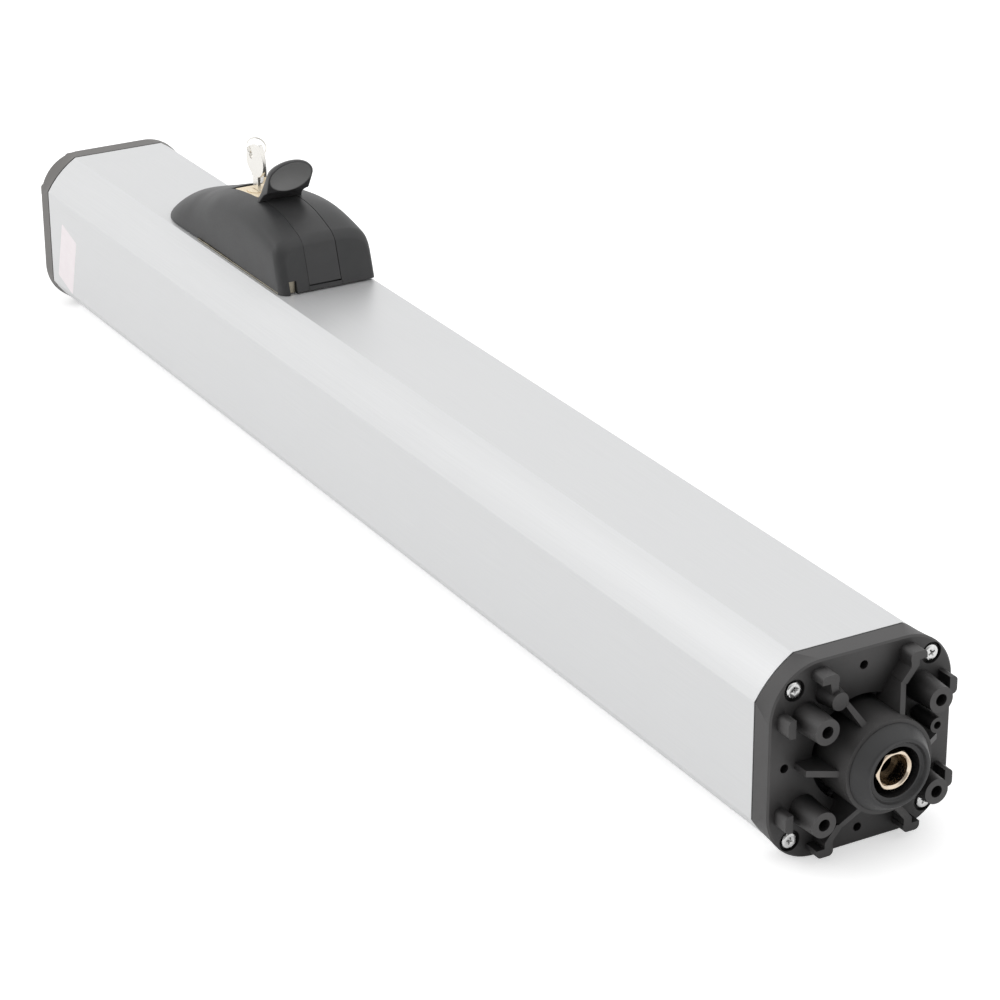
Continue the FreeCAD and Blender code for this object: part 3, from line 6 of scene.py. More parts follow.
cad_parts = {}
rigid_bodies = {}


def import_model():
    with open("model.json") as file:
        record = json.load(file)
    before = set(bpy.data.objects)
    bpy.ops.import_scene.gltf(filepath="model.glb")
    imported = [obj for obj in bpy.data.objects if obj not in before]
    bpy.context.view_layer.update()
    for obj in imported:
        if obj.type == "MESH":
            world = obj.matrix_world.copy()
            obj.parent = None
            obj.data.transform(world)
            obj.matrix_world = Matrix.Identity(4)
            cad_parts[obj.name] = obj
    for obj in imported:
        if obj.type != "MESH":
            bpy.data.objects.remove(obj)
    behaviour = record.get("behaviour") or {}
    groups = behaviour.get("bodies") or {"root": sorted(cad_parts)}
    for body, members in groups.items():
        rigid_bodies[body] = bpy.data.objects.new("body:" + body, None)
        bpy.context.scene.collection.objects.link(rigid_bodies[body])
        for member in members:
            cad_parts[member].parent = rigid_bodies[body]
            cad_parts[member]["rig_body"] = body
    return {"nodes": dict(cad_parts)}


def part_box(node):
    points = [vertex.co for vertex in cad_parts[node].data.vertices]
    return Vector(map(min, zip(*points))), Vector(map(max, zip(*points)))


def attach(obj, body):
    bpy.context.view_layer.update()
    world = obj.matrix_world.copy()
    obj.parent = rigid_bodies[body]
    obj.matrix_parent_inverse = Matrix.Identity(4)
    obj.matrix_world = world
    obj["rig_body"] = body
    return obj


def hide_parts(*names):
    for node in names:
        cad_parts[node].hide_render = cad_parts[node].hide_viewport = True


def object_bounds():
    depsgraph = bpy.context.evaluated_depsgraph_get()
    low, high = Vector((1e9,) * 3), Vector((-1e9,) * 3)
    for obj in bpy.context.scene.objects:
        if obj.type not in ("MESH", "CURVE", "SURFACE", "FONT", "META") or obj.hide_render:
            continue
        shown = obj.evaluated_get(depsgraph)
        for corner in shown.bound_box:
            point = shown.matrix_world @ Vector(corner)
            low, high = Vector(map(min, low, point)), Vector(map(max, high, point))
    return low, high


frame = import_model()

cad_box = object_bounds()


# Camera
# It stands in front of the free end, a little to the right and above, with a long lens.
camera_data = bpy.data.cameras.new("camera")
camera_data.lens = 119.6
camera_data.sensor_width = 36
camera_data.clip_end = 50
camera = bpy.data.objects.new("camera", camera_data)
bpy.context.scene.collection.objects.link(camera)
camera_place = Vector((1.9402, -0.7943, 0.7174))
camera_turn, camera_fall, camera_roll = 60.61, 24.06, -0.40
camera.matrix_world = (Matrix.Translation(camera_place) @ Matrix.Rotation(math.radians(camera_turn), 4, "Z")
                       @ Matrix.Rotation(math.radians(90 - camera_fall), 4, "X")
                       @ Matrix.Rotation(math.radians(camera_roll), 4, "Z"))
bpy.context.scene.camera = camera
bpy.context.scene.view_settings.view_transform = "Standard"


# Floor and light
# A white floor under a white sky, which shiny surfaces see darker toward the free end. One wide
# soft lamp above the left side lifts the corner faces and leaves a faint shadow on the floor.
class Shade:
    """A socket of a material; sums written on it add the Math nodes that they need."""

    def __init__(self, tree, socket=None):
        self.tree = tree
        self.socket = socket

    def feed(self, socket, given):
        if isinstance(given, Shade):
            self.tree.links.new(given.socket, socket)
        else:
            socket.default_value = given

    def node(self, kind, settings, sockets, output=0):
        """Any other node: its type, its settings, and the values or links of its sockets."""
        added = self.tree.nodes.new("ShaderNode" + kind)
        for name, setting in settings.items():
            setattr(added, name, setting)
        for name, given in sockets.items():
            self.feed(added.inputs[name], given)
        return Shade(self.tree, added.outputs[output])

    def sum(self, operation, first, second):
        return self.node("Math", {"operation": operation}, {0: first, 1: second})

    def __add__(self, other):
        return self.sum("ADD", self, other)

    __radd__ = __add__

    def __sub__(self, other):
        return self.sum("SUBTRACT", self, other)

    def __rsub__(self, other):
        return self.sum("SUBTRACT", other, self)

    def __mul__(self, other):
        return self.sum("MULTIPLY", self, other)

    __rmul__ = __mul__


def mix(place, share, first, second, **settings):
    """One colour into the other, as far as the share says."""
    return place.node("Mix", {"data_type": "RGBA", **settings}, {0: share, 6: first, 7: second}, 2)


def seen_rays(tree):
    """1 for the camera's rays, and 1 for the rays that metal and glass send on."""
    path = Shade(tree)
    straight = path.node("LightPath", {}, {}, "Is Camera Ray")
    glossy = path.node("LightPath", {}, {}, "Is Glossy Ray")
    clear = path.node("LightPath", {}, {}, "Is Transmission Ray")
    return straight, path.sum("MAXIMUM", glossy, clear)


sky_light = 0.86
dark_end = Vector((0.86, -0.48, 0.17))
dark_end_shade, dark_from, dark_full = 0.69, 0.45, 0.9
world = bpy.data.worlds.new("studio")
world.use_nodes = True
bpy.context.scene.world = world
seen, mirrored = seen_rays(world.node_tree)
outwards = seen.node("TexCoord", {}, {}, "Generated")
facing = seen.node("VectorMath", {"operation": "DOT_PRODUCT"},
                   {0: outwards, 1: dark_end.normalized()}, "Value")
dark = seen.node("MapRange", {"interpolation_type": "SMOOTHSTEP"},
                 {"Value": facing, "From Min": dark_from, "From Max": dark_full})
lit = (1 - mirrored) * sky_light + mirrored * (1 - dark * dark_end_shade)
sky = world.node_tree.nodes["Background"]
seen.feed(sky.inputs["Strength"], lit + seen * (1 - lit))
sky.inputs["Color"].default_value = (1, 1, 1, 1)

floor_size = 14
floor_gap = 0.0004
floor_middle = 0.45
floor_glow, mirrored_glow = 0.50, 0.16
bpy.ops.object.select_all(action="DESELECT")
bpy.ops.mesh.primitive_plane_add(size=floor_size, location=(floor_middle, 0, cad_box[0][2] - floor_gap))
floor = bpy.context.object
floor.name = "floor"
floor_paint = bpy.data.materials.new("floor_paint")
floor_paint.use_nodes = True
floor_surface = floor_paint.node_tree.nodes["Principled BSDF"]
floor_surface.inputs["Base Color"].default_value = (0.88, 0.88, 0.88, 1)
floor_surface.inputs["Roughness"].default_value = 0.9
floor_surface.inputs["Emission Strength"].default_value = 1
seen, mirrored = seen_rays(floor_paint.node_tree)
glow = mix(seen, seen * floor_glow + mirrored * mirrored_glow, (0, 0, 0, 1), (1, 1, 1, 1))
seen.feed(floor_surface.inputs["Emission Color"], glow)
floor.data.materials.append(floor_paint)

lamp_place = Vector((-0.5, -2.2, 2.3))
lamp_aim = Vector((0.6, 0, 0)) - lamp_place
bpy.ops.object.light_add(type="AREA", location=lamp_place,
                         rotation=lamp_aim.to_track_quat("-Z", "Y").to_euler())
lamp = bpy.context.object
lamp.name = "soft_lamp"
lamp.data.shape = "RECTANGLE"
lamp.data.size = 2.6
lamp.data.size_y = 1.6
lamp.data.energy = 15


# Housing
# One long octagonal aluminium extrusion with slightly crowned corner faces, sawn to length and
# anodised in pale satin silver. The die leaves faint lines along it.
def new_finish(name, colour, roughness, metallic=0.0):
    """A material with its plain values on the shader's own sockets, and its place on the object."""
    finish = bpy.data.materials.new(name)
    finish.use_nodes = True
    surface = finish.node_tree.nodes["Principled BSDF"]
    surface.inputs["Base Color"].default_value = (*colour, 1)
    surface.inputs["Roughness"].default_value = roughness
    surface.inputs["Metallic"].default_value = metallic
    place = Shade(finish.node_tree).node("TexCoord", {}, {}, "Object")
    return finish, surface, place


def grain(place, size, stretch=(1, 1, 1), detail=2.0):
    """Noise with one grain to each `size` metres, drawn out along each axis by its stretch."""
    scale = [1 / (size * longer) for longer in stretch]
    spread_out = place.node("Mapping", {}, {"Vector": place, "Scale": scale})
    return place.node("TexNoise", {}, {"Vector": spread_out, "Scale": 1.0, "Detail": detail})


def between(noise, low, high):
    """Noise lies mostly within 0.3 to 0.7; this carries it over to a range."""
    return (noise - 0.3) * ((high - low) / 0.4) + low


def blend_colours(noise, first, second):
    return mix(noise, between(noise, 0.0, 1.0), (*first, 1), (*second, 1), clamp_factor=True)


def emboss(surface, height, depth):
    """Raises the surface by `depth` metres where the height is 1."""
    raised = height.node("Bump", {}, {"Height": height, "Distance": depth, "Strength": 1.0})
    height.feed(surface.inputs["Normal"], raised)


def select_only(piece):
    bpy.ops.object.select_all(action="DESELECT")
    piece.select_set(True)
    bpy.context.view_layer.objects.active = piece


def apply_modifier(piece, kind, **settings):
    modifier = piece.modifiers.new(kind.lower(), kind)
    for name, setting in settings.items():
        setattr(modifier, name, setting)
    select_only(piece)
    bpy.ops.object.modifier_apply(modifier=modifier.name)


def break_edges(piece, width, angle):
    """Rounds the edges that turn by more than the angle."""
    apply_modifier(piece, "BEVEL", width=width, segments=2, limit_method="ANGLE",
                   angle_limit=math.radians(angle))


def smooth(piece, angle=32, weighted=True):
    select_only(piece)
    bpy.ops.object.shade_smooth_by_angle(angle=math.radians(angle))
    if weighted:
        apply_modifier(piece, "WEIGHTED_NORMAL", keep_sharp=True, weight=80)


def put_on(piece, finish, *nodes):
    """The piece gets its finish, moves with its nodes' body and is shown in their place."""
    piece.data.materials.clear()
    piece.data.materials.append(finish)
    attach(piece, frame["nodes"][nodes[0]]["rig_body"])
    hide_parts(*nodes)


def copy_of(node, name):
    """A copy of the node's mesh with its doubled corners joined, left open in edit mode."""
    piece = bpy.data.objects.new(name, frame["nodes"][node].data.copy())
    bpy.context.scene.collection.objects.link(piece)
    select_only(piece)
    bpy.ops.mesh.customdata_custom_splitnormals_clear()
    bpy.ops.object.mode_set(mode="EDIT")
    bpy.ops.mesh.select_all(action="SELECT")
    bpy.ops.mesh.remove_doubles(threshold=0.000005)
    return piece


def finished(node, finish, edge):
    """The node's shape with its facets joined and its edges broken, as a piece of its own."""
    piece = copy_of(node, node + "_finished")
    bpy.ops.mesh.dissolve_limited(angle_limit=math.radians(0.3))
    bpy.ops.object.mode_set(mode="OBJECT")
    break_edges(piece, edge, 32)
    smooth(piece)
    put_on(piece, finish, node)
    return piece


anodised, surface, place = new_finish("satin_anodised", (0.745, 0.75, 0.755), 0.4, metallic=0.45)
die_lines = grain(place, 0.0005, stretch=(90, 1, 1), detail=3.0)
clouding = grain(place, 0.05)
place.feed(surface.inputs["Roughness"], between(die_lines, 0.36, 0.42) + between(clouding, -0.015, 0.02))
place.feed(surface.inputs["Base Color"], blend_colours(die_lines, (0.73, 0.735, 0.74), (0.76, 0.765, 0.77)))
emboss(surface, die_lines, 0.0000012)
finished("housing_profile", anodised, 0.0004)


# Gaskets
# A die-cut rubber gasket seals each cap on the extrusion; only its dark edge shows.
def clad(finish, *nodes):
    """Nodes whose shape is right as it is, with the finish of the real piece."""
    for node in nodes:
        mesh = frame["nodes"][node].data
        mesh.materials.clear()
        mesh.materials.append(finish)


rubber, surface, place = new_finish("seal_rubber", (0.022, 0.022, 0.023), 0.7)
rubber_grain = grain(place, 0.0004)
place.feed(surface.inputs["Roughness"], between(rubber_grain, 0.62, 0.78))
place.feed(surface.inputs["Base Color"],
           blend_colours(rubber_grain, (0.018, 0.018, 0.018), (0.028, 0.028, 0.029)))
emboss(surface, rubber_grain, 0.00001)
clad(rubber, "front_gasket", "rear_gasket")


# End caps
# One glass-filled nylon moulding for both ends: hub in a moat, six ribs, four tapered bosses,
# rounded tabs and counterbored corners. Its skin has a fine spark-eroded grain.
def moulded(name, dark, light, roughness, grain_size=0.00035, grain_depth=0.000012, painted_recess_tone=0.35):
    """A moulding's skin, with painted shade that darkens it in its recesses."""
    finish, surface, place = new_finish(name, light, roughness)
    skin = grain(place, grain_size, detail=3.0)
    flow = grain(place, 0.012, detail=2.0)
    # Painted shade: ambient occlusion darkens the base colour, most in the deepest recesses.
    unshaded_share = place.node("AmbientOcclusion", {"samples": 8}, {"Distance": 0.02}, "AO")
    painted_shade_tone = painted_recess_tone + unshaded_share * unshaded_share * (1 - painted_recess_tone)
    shade = place.node("CombineColor", {}, {0: painted_shade_tone, 1: painted_shade_tone, 2: painted_shade_tone})
    place.feed(surface.inputs["Base Color"],
               mix(place, 1.0, blend_colours(flow, dark, light), shade, blend_type="MULTIPLY"))
    place.feed(surface.inputs["Roughness"], between(skin, roughness - 0.05, roughness + 0.05)
               + between(flow, -0.03, 0.03))
    emboss(surface, skin, grain_depth)
    return finish


# Both caps carry painted shade in their recesses, darkest on the front cap.
cap_nylon = moulded("cap_nylon", (0.055, 0.053, 0.053), (0.065, 0.063, 0.063), 0.46, painted_recess_tone=0.15)
# The rear cap is given a paler grey than the front cap.
paler_rear_nylon = moulded("paler_rear_nylon", (0.155, 0.148, 0.142), (0.180, 0.172, 0.165), 0.5)
finished("front_cap", cap_nylon, 0.0005)
finished("rear_cap", paler_rear_nylon, 0.0005)


def select_where(piece, kind, test):
    """In edit mode, the elements whose middle passes the test."""
    bpy.ops.mesh.select_mode(type=kind)
    bpy.ops.mesh.select_all(action="DESELECT")
    bpy.ops.object.mode_set(mode="OBJECT")
    mesh = piece.data
    if kind == "VERT":
        for vertex in mesh.vertices:
            vertex.select = test(vertex.co)
    if kind == "EDGE":
        for edge in mesh.edges:
            first, second = (mesh.vertices[index].co for index in edge.vertices)
            edge.select = test((first + second) / 2)
    if kind == "FACE":
        for face in mesh.polygons:
            face.select = test(face.center)
    bpy.ops.object.mode_set(mode="EDIT")


button_centre = Vector((0.8615, -0.020, 0.033))
button_radius = 0.0062
button_share = 0.74
front_cap = bpy.data.objects["front_cap_finished"]
select_only(front_cap)
bpy.ops.object.mode_set(mode="EDIT")
select_where(front_cap, "VERT", lambda at: at.x > button_centre.x + 0.0004
             and (at.yz - button_centre.yz).length < button_radius)
bpy.ops.transform.resize(value=(1, button_share, button_share), center_override=button_centre)
bpy.ops.object.mode_set(mode="OBJECT")


# Cap screws
# Zinc-plated M5 pan heads with a cross recess, driven down into the counterbores, four to a cap.
plated, surface, place = new_finish("bright_zinc", (0.80, 0.80, 0.79), 0.24, metallic=1.0)
plating = grain(place, 0.0012, detail=4.0)
place.feed(surface.inputs["Roughness"], between(plating, 0.16, 0.32))
place.feed(surface.inputs["Base Color"], blend_colours(plating, (0.72, 0.72, 0.71), (0.86, 0.86, 0.86)))
head_radius, head_height = 0.0041, 0.0029
cross_length, cross_width, cross_depth = 0.0048, 0.00115, 0.0016
screw_places = [(0.0374, 0.0382), (-0.0374, 0.0382), (-0.0374, -0.0382), (0.0374, -0.0382)]
head_round, cross_taper, head_proud = 0.52, 0.55, 0.003
first_turn, next_turn = 25, 70
bpy.ops.object.select_all(action="DESELECT")
bpy.ops.mesh.primitive_cylinder_add(vertices=40, radius=head_radius, depth=head_height,
                                    location=(0, 0, head_height / 2))
pan_head = bpy.context.object
bpy.ops.object.transform_apply(location=True)
bpy.ops.object.mode_set(mode="EDIT")
select_where(pan_head, "EDGE", lambda at: at.z > head_height * 0.99)
bpy.ops.mesh.bevel(offset=head_height * head_round, segments=6, profile=0.55)
bpy.ops.object.mode_set(mode="OBJECT")
bpy.ops.object.select_all(action="DESELECT")
bpy.ops.mesh.primitive_cube_add(size=1, location=(0, 0, head_height),
                                scale=(cross_length, cross_width, 2 * cross_depth))
cross = bpy.context.object
bpy.ops.object.transform_apply(location=True, scale=True)
bpy.ops.object.mode_set(mode="EDIT")
bpy.ops.mesh.select_all(action="SELECT")
bpy.ops.mesh.duplicate()
bpy.ops.transform.rotate(value=math.radians(90), orient_axis="Z", center_override=(0, 0, 0))
select_where(cross, "VERT", lambda at: at.z < head_height * 0.9)
bpy.ops.transform.resize(value=(cross_taper, cross_taper, 1), center_override=(0, 0, 0))
bpy.ops.object.mode_set(mode="OBJECT")
apply_modifier(pan_head, "BOOLEAN", object=cross, operation="DIFFERENCE", solver="EXACT", use_self=True)
bpy.data.objects.remove(cross)
for cap_end, screws, turned in (("front", "front_cap_screws", 1), ("rear", "rear_cap_screws", -1)):
    lowest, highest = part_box(screws)
    seat = highest.x - head_proud if turned > 0 else lowest.x + head_proud
    heads = []
    for number, (y, z) in enumerate(screw_places):
        head = bpy.data.objects.new(f"{cap_end}_screw_{number + 1}", pan_head.data.copy())
        bpy.context.scene.collection.objects.link(head)
        head.data.transform(Matrix.Translation((seat, y, z))
                            @ Matrix.Rotation(math.radians(90 * turned), 4, "Y")
                            @ Matrix.Rotation(math.radians(first_turn + next_turn * number), 4, "Z"))
        heads.append(head)
    bpy.ops.object.select_all(action="DESELECT")
    for head in heads:
        head.select_set(True)
    bpy.context.view_layer.objects.active = heads[0]
    bpy.ops.object.join()
    heads[0].name = screws + "_finished"
    break_edges(heads[0], 0.00012, 35)
    smooth(heads[0], weighted=False)
    put_on(heads[0], plated, screws)
bpy.data.objects.remove(pan_head)


# Front collar
# A turned acetal ring pressed into the front hub: it guides the rod and keeps dirt off the wiper.
collar_acetal = moulded("collar_acetal", (0.026, 0.026, 0.027), (0.032, 0.032, 0.033), 0.42,
                        grain_size=0.0006, grain_depth=0.000004)
collar = finished("front_collar", collar_acetal, 0.0004)
step_from, step_start, step_depth = 0.8832, 0.016, 0.0012
collar_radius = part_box("front_collar")[1].z
for vertex in collar.data.vertices:
    radius = vertex.co.yz.length
    if vertex.co.x > step_from and radius > step_start:
        share = (radius - step_start) / (collar_radius - step_start)
        narrowed = 1 - step_depth * share / radius
        vertex.co.y *= narrowed
        vertex.co.z *= narrowed


# Rod end
# A hexagonal steel end piece in pale bronze passivation, screwed to the rod, with a smooth
# guide bore and a thread for the gate bracket behind it.
passivated, surface, place = new_finish("bronze_passivation", (0.80, 0.64, 0.48), 0.25, metallic=1.0)
bloom = grain(place, 0.006, detail=3.0)
axis_places = {"X": 0, "Y": 1, "Z": 2}


def along(place, axis):
    return place.node("SeparateXYZ", {}, {0: place}, axis_places[axis])


bore_radius, bore_shade_from = 0.0070, 0.0009
# Painted shade: inside the bore, stopping short of its mouth, the bronze is painted dark brown.
from_axis = place.sum("POWER", along(place, "Y") * along(place, "Y")
                      + along(place, "Z") * along(place, "Z"), 0.5)
painted_bore_shade = (place.sum("LESS_THAN", from_axis, bore_radius)
         * place.sum("LESS_THAN", along(place, "X"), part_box("rod_end")[1].x - bore_shade_from))
bronze_bloom = blend_colours(bloom, (0.78, 0.63, 0.48), (0.90, 0.79, 0.65))
place.feed(surface.inputs["Base Color"], mix(place, painted_bore_shade, bronze_bloom, (0.075, 0.062, 0.045, 1)))
place.feed(surface.inputs["Roughness"], between(grain(place, 0.0008), 0.16, 0.26))
rod_end = finished("rod_end", passivated, 0.00045)
face_from, bore_share, corner_from, corner_share = 0.003, 1.07, 0.0094, 0.68
end_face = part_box("rod_end")[1].x
for vertex in rod_end.data.vertices:
    radius = vertex.co.yz.length
    if vertex.co.x > end_face - face_from:
        if radius < bore_radius * 1.15:
            vertex.co.y *= bore_share
            vertex.co.z *= bore_share
        elif radius > corner_from:
            rounded = (corner_from + (radius - corner_from) * corner_share) / radius
            vertex.co.y *= rounded
            vertex.co.z *= rounded


# Rod and piston
# The ground and hard-chromed rod carries an aluminium piston with one seal, held by a nut, and the stop
# tube that ends its travel. The aluminium gland is painted near-black, painted shade where it shows beside
# the front cap's hub.
chrome, surface, place = new_finish("hard_chrome", (0.80, 0.80, 0.81), 0.08, metallic=1.0)
ground = grain(place, 0.0004, stretch=(1, 12, 12))
place.feed(surface.inputs["Roughness"], between(ground, 0.06, 0.12))
clad(chrome, "piston_rod")


def metal(name, dark, light, low, high, size=0.0006, stretch=(1, 8, 8)):
    """Cut metal: tool marks that run round the ram."""
    finish, surface, place = new_finish(name, light, high, metallic=1.0)
    marks = grain(place, size, stretch)
    place.feed(surface.inputs["Base Color"], blend_colours(marks, dark, light))
    place.feed(surface.inputs["Roughness"], between(marks, low, high))
    return finish


machined = metal("machined_aluminium", (0.60, 0.61, 0.62), (0.70, 0.71, 0.72), 0.3, 0.45)
steel = metal("plain_steel", (0.42, 0.42, 0.43), (0.54, 0.54, 0.54), 0.28, 0.42)
# Painted shade: this near-black finish goes only on the gland, where it shows in the gap at the hub.
gland_shade_black = metal("painted_shade_black", (0.018, 0.018, 0.019), (0.030, 0.030, 0.031), 0.4, 0.55)
clad(machined, "piston", "valve_block", "pump_body", "pump_cover", "motor_flange")
clad(gland_shade_black, "rod_gland")
clad(steel, "stop_tube", "cylinder_tube", "delivery_pipe", "motor_bearings", "motor_shaft", "drive_gear",
     "driven_gear", "release_spindle")
clad(plated, "piston_nut", "relief_screws", "pump_bolts")
clad(rubber, "piston_seal", "rod_seal", "rod_wiper", "shaft_seal", "motor_buffer")


# Bush and strainer
# The rod runs in a sintered bronze bush, and the pump draws its oil through a bronze strainer.
bronze = metal("sintered_bronze", (0.42, 0.30, 0.15), (0.58, 0.42, 0.22), 0.38, 0.55,
               size=0.0003, stretch=(1, 1, 1))
clad(bronze, "rod_bush", "oil_strainer")


# Motor
# A submerged motor: painted casing, laminated core and rotor, and enamelled copper windings.
motor_paint = moulded("motor_enamel", (0.055, 0.060, 0.066), (0.075, 0.080, 0.088), 0.35, grain_size=0.0009)
laminations = metal("laminated_core", (0.24, 0.24, 0.25), (0.36, 0.36, 0.37), 0.4, 0.6,
                    size=0.0005, stretch=(1, 40, 40))
copper = metal("enamelled_copper", (0.45, 0.20, 0.09), (0.66, 0.34, 0.18), 0.22, 0.35,
               size=0.0008, stretch=(10, 1, 1))
clad(motor_paint, "motor_casing")
clad(laminations, "motor_stator", "motor_rotor")
clad(copper, "motor_windings")


# Rear fittings
# In the rear hub a steel insert takes the pivot fork. A nylon gland with its nut holds the power
# cable, and a plated plug closes the oil filling hole.
finished("rear_insert", steel, 0.0004)
finished("cable_gland", cap_nylon, 0.0004)
finished("gland_nut", cap_nylon, 0.0004)
finished("filler_plug", plated, 0.0004)


# Release cover
# A low moulded dome with a sloping front and a rounded tail, which closes over the release gear.
# A slot takes the lever, and behind the paddle a well leaves the lock's face open.
# The cover's skin has a little painted shade in its recesses.
cover_nylon = moulded("cover_nylon", (0.030, 0.031, 0.032), (0.037, 0.037, 0.038), 0.44, painted_recess_tone=0.8)
cover_front = 0.3275
cover_foot = 0.0503
cover_wall = 0.0026
station_gap = 0.013857
half_widths = [0.0285, 0.0284, 0.0282, 0.0281, 0.0280, 0.0278, 0.0276, 0.0275, 0.0275, 0.0276,
               0.0278, 0.0280, 0.0280, 0.0280, 0.0280]
crest_heights = [0.0260, 0.0308, 0.0355, 0.0381, 0.0385, 0.0377, 0.0364, 0.0342, 0.0303, 0.0256,
                 0.0212, 0.0166, 0.0114, 0.0070, 0.0030]
crown_drops = [0.0015, 0.0020, 0.0035, 0.0043, 0.0043, 0.0044, 0.0045, 0.0045, 0.0035, 0.0025,
               0.0015, 0.0010, 0.0005, 0.0, 0.0]
squareness = [8.0, 8.0, 8.0, 8.0, 7.5, 7.0, 6.0, 5.0, 3.6, 2.9, 2.6, 2.3, 2.0, 1.9, 1.9]
tail_start, tail_length = 0.1346, 0.0442
tail_bulge, tail_point, tail_fall, tail_softening = 3.17, 0.59, 8, 0.65
tail_least_width, tail_least_height = 0.004, 0.02
front_reach, front_lean, lean_fade = 0.0012, 0.3158, 0.07
front_corner, far_corner, front_edge = 0.006, 0.0025, 0.003
far_side_spread, spread_fade = 0.24, 0.07
corner_rings, length_rings, round_steps, outline_steps = 6, 74, 160, 240
ring_crowding = 1.8
slot_half, slot_end = 0.0104, 0.102


def eased(values, at):
    """The value between two stations, on a smooth line through them all."""
    step = min(int(at), len(values) - 2)
    share = at - step
    before, here = values[max(step - 1, 0)], values[step]
    there, beyond = values[step + 1], values[min(step + 2, len(values) - 1)]
    curve = 2 * before - 5 * here + 4 * there - beyond + share * (3 * (here - there) + beyond - before)
    return here + 0.5 * share * (there - before + share * curve)


def evenly(line, steps):
    """Points at even steps along a line."""
    reached = [0.0]
    for first, second in zip(line, line[1:]):
        reached.append(reached[-1] + (second - first).length)
    points, leg = [], 0
    for step in range(steps + 1):
        target = reached[-1] * step / steps
        while leg < len(line) - 2 and reached[leg + 1] < target:
            leg += 1
        share = (target - reached[leg]) / max(reached[leg + 1] - reached[leg], 1e-9)
        points.append(line[leg].lerp(line[leg + 1], min(share, 1.0)))
    return points


def cover_ring(behind, corner=0.0):
    """The cover's form round one place behind its front, from foot to foot."""
    fade = min(1.0, 1 - behind / lean_fade) ** 2 if behind < lean_fade else 0.0
    spread = far_side_spread * min(1.0, max(0.0, (tail_start - behind) / spread_fade))
    outline = []
    for step in range(outline_steps + 1):
        turn = math.pi * step / outline_steps
        across, upright = math.cos(turn), max(0.0, math.sin(turn))
        back = behind
        for again in range(4):
            at = back / station_gap
            wide, high = eased(half_widths, at), eased(crest_heights, at)
            drop, square = eased(crown_drops, at), eased(squareness, at)
            closing = min(1.0, max(0.0, (back - tail_start) / tail_length))
            wide *= max(tail_least_width, 1 - closing ** tail_bulge) ** tail_point
            high *= max(tail_least_height, 1 - closing ** tail_fall)
            square -= tail_softening * closing
            reach = (abs(across) ** square + upright ** square) ** (-1 / square)
            y = wide * across * reach
            z = (high - drop * (y / wide) ** 2) * upright * reach
            y *= 1 - corner * (front_corner if y < 0 else far_corner) / wide
            z *= 1 - corner * front_edge / high
            y += spread * max(0.0, y - slot_half)
            back = behind + front_lean * z * fade
        outline.append(Vector((cover_front - back, y, cover_foot + z)))
    return evenly(outline, round_steps)


def sheet_through(name, rows):
    """A grid whose crossings are moved onto rows of points, with its doubles merged."""
    bpy.ops.object.select_all(action="DESELECT")
    bpy.ops.mesh.primitive_grid_add(x_subdivisions=len(rows) - 1, y_subdivisions=len(rows[0]) - 1, size=1)
    sheet = bpy.context.object
    sheet.name = name
    for vertex in sheet.data.vertices:
        row = round((vertex.co.x + 0.5) * (len(rows) - 1))
        column = round((vertex.co.y + 0.5) * (len(rows[0]) - 1))
        vertex.co = rows[row][column]
    bpy.ops.object.mode_set(mode="EDIT")
    bpy.ops.mesh.select_all(action="SELECT")
    bpy.ops.mesh.remove_doubles(threshold=0.000002)
    bpy.ops.object.mode_set(mode="OBJECT")
    return sheet


def front_plane(z):
    return cover_front + front_reach - front_lean * (z - cover_foot)


def cut_at(piece, place, normal, **settings):
    """In edit mode, a flat cut through all of the piece."""
    bpy.ops.mesh.select_all(action="SELECT")
    bpy.ops.mesh.bisect(plane_co=place, plane_no=normal, **settings)


def open_up(piece, lowest, highest):
    """In edit mode, takes out of the skin what lies between two corners."""
    for axis in range(3):
        normal = [0, 0, 0]
        normal[axis] = 1
        cut_at(piece, lowest, normal)
        cut_at(piece, highest, normal)
    select_where(piece, "FACE",
                 lambda at: all(lowest[axis] < at[axis] < highest[axis] for axis in range(3)))
    bpy.ops.mesh.delete(type="FACE")


rings = []
for ring in range(corner_rings):
    turn = math.pi / 2 * ring / corner_rings
    rings.append(cover_ring(front_corner * (1 - math.cos(turn)) - front_reach, 1 - math.sin(turn)))
for ring in range(length_rings + 1):
    share = 1 - (1 - ring / length_rings) ** ring_crowding
    first_ring = front_corner - front_reach
    rings.append(cover_ring(first_ring + (tail_start + tail_length - first_ring) * share))
tail = Vector((cover_front - tail_start - tail_length, 0, cover_foot))
rings.append([tail] * (round_steps + 1))
dome = sheet_through("hood_shell_finished", rings)
bpy.ops.object.mode_set(mode="EDIT")
select_where(dome, "EDGE", lambda at: abs(at.x - front_plane(at.z)) < 0.000002)
bpy.ops.mesh.edge_face_add()
bpy.ops.object.mode_set(mode="OBJECT")
strap = bpy.data.objects.new("release_lever_finished", dome.data.copy())
bpy.context.scene.collection.objects.link(strap)

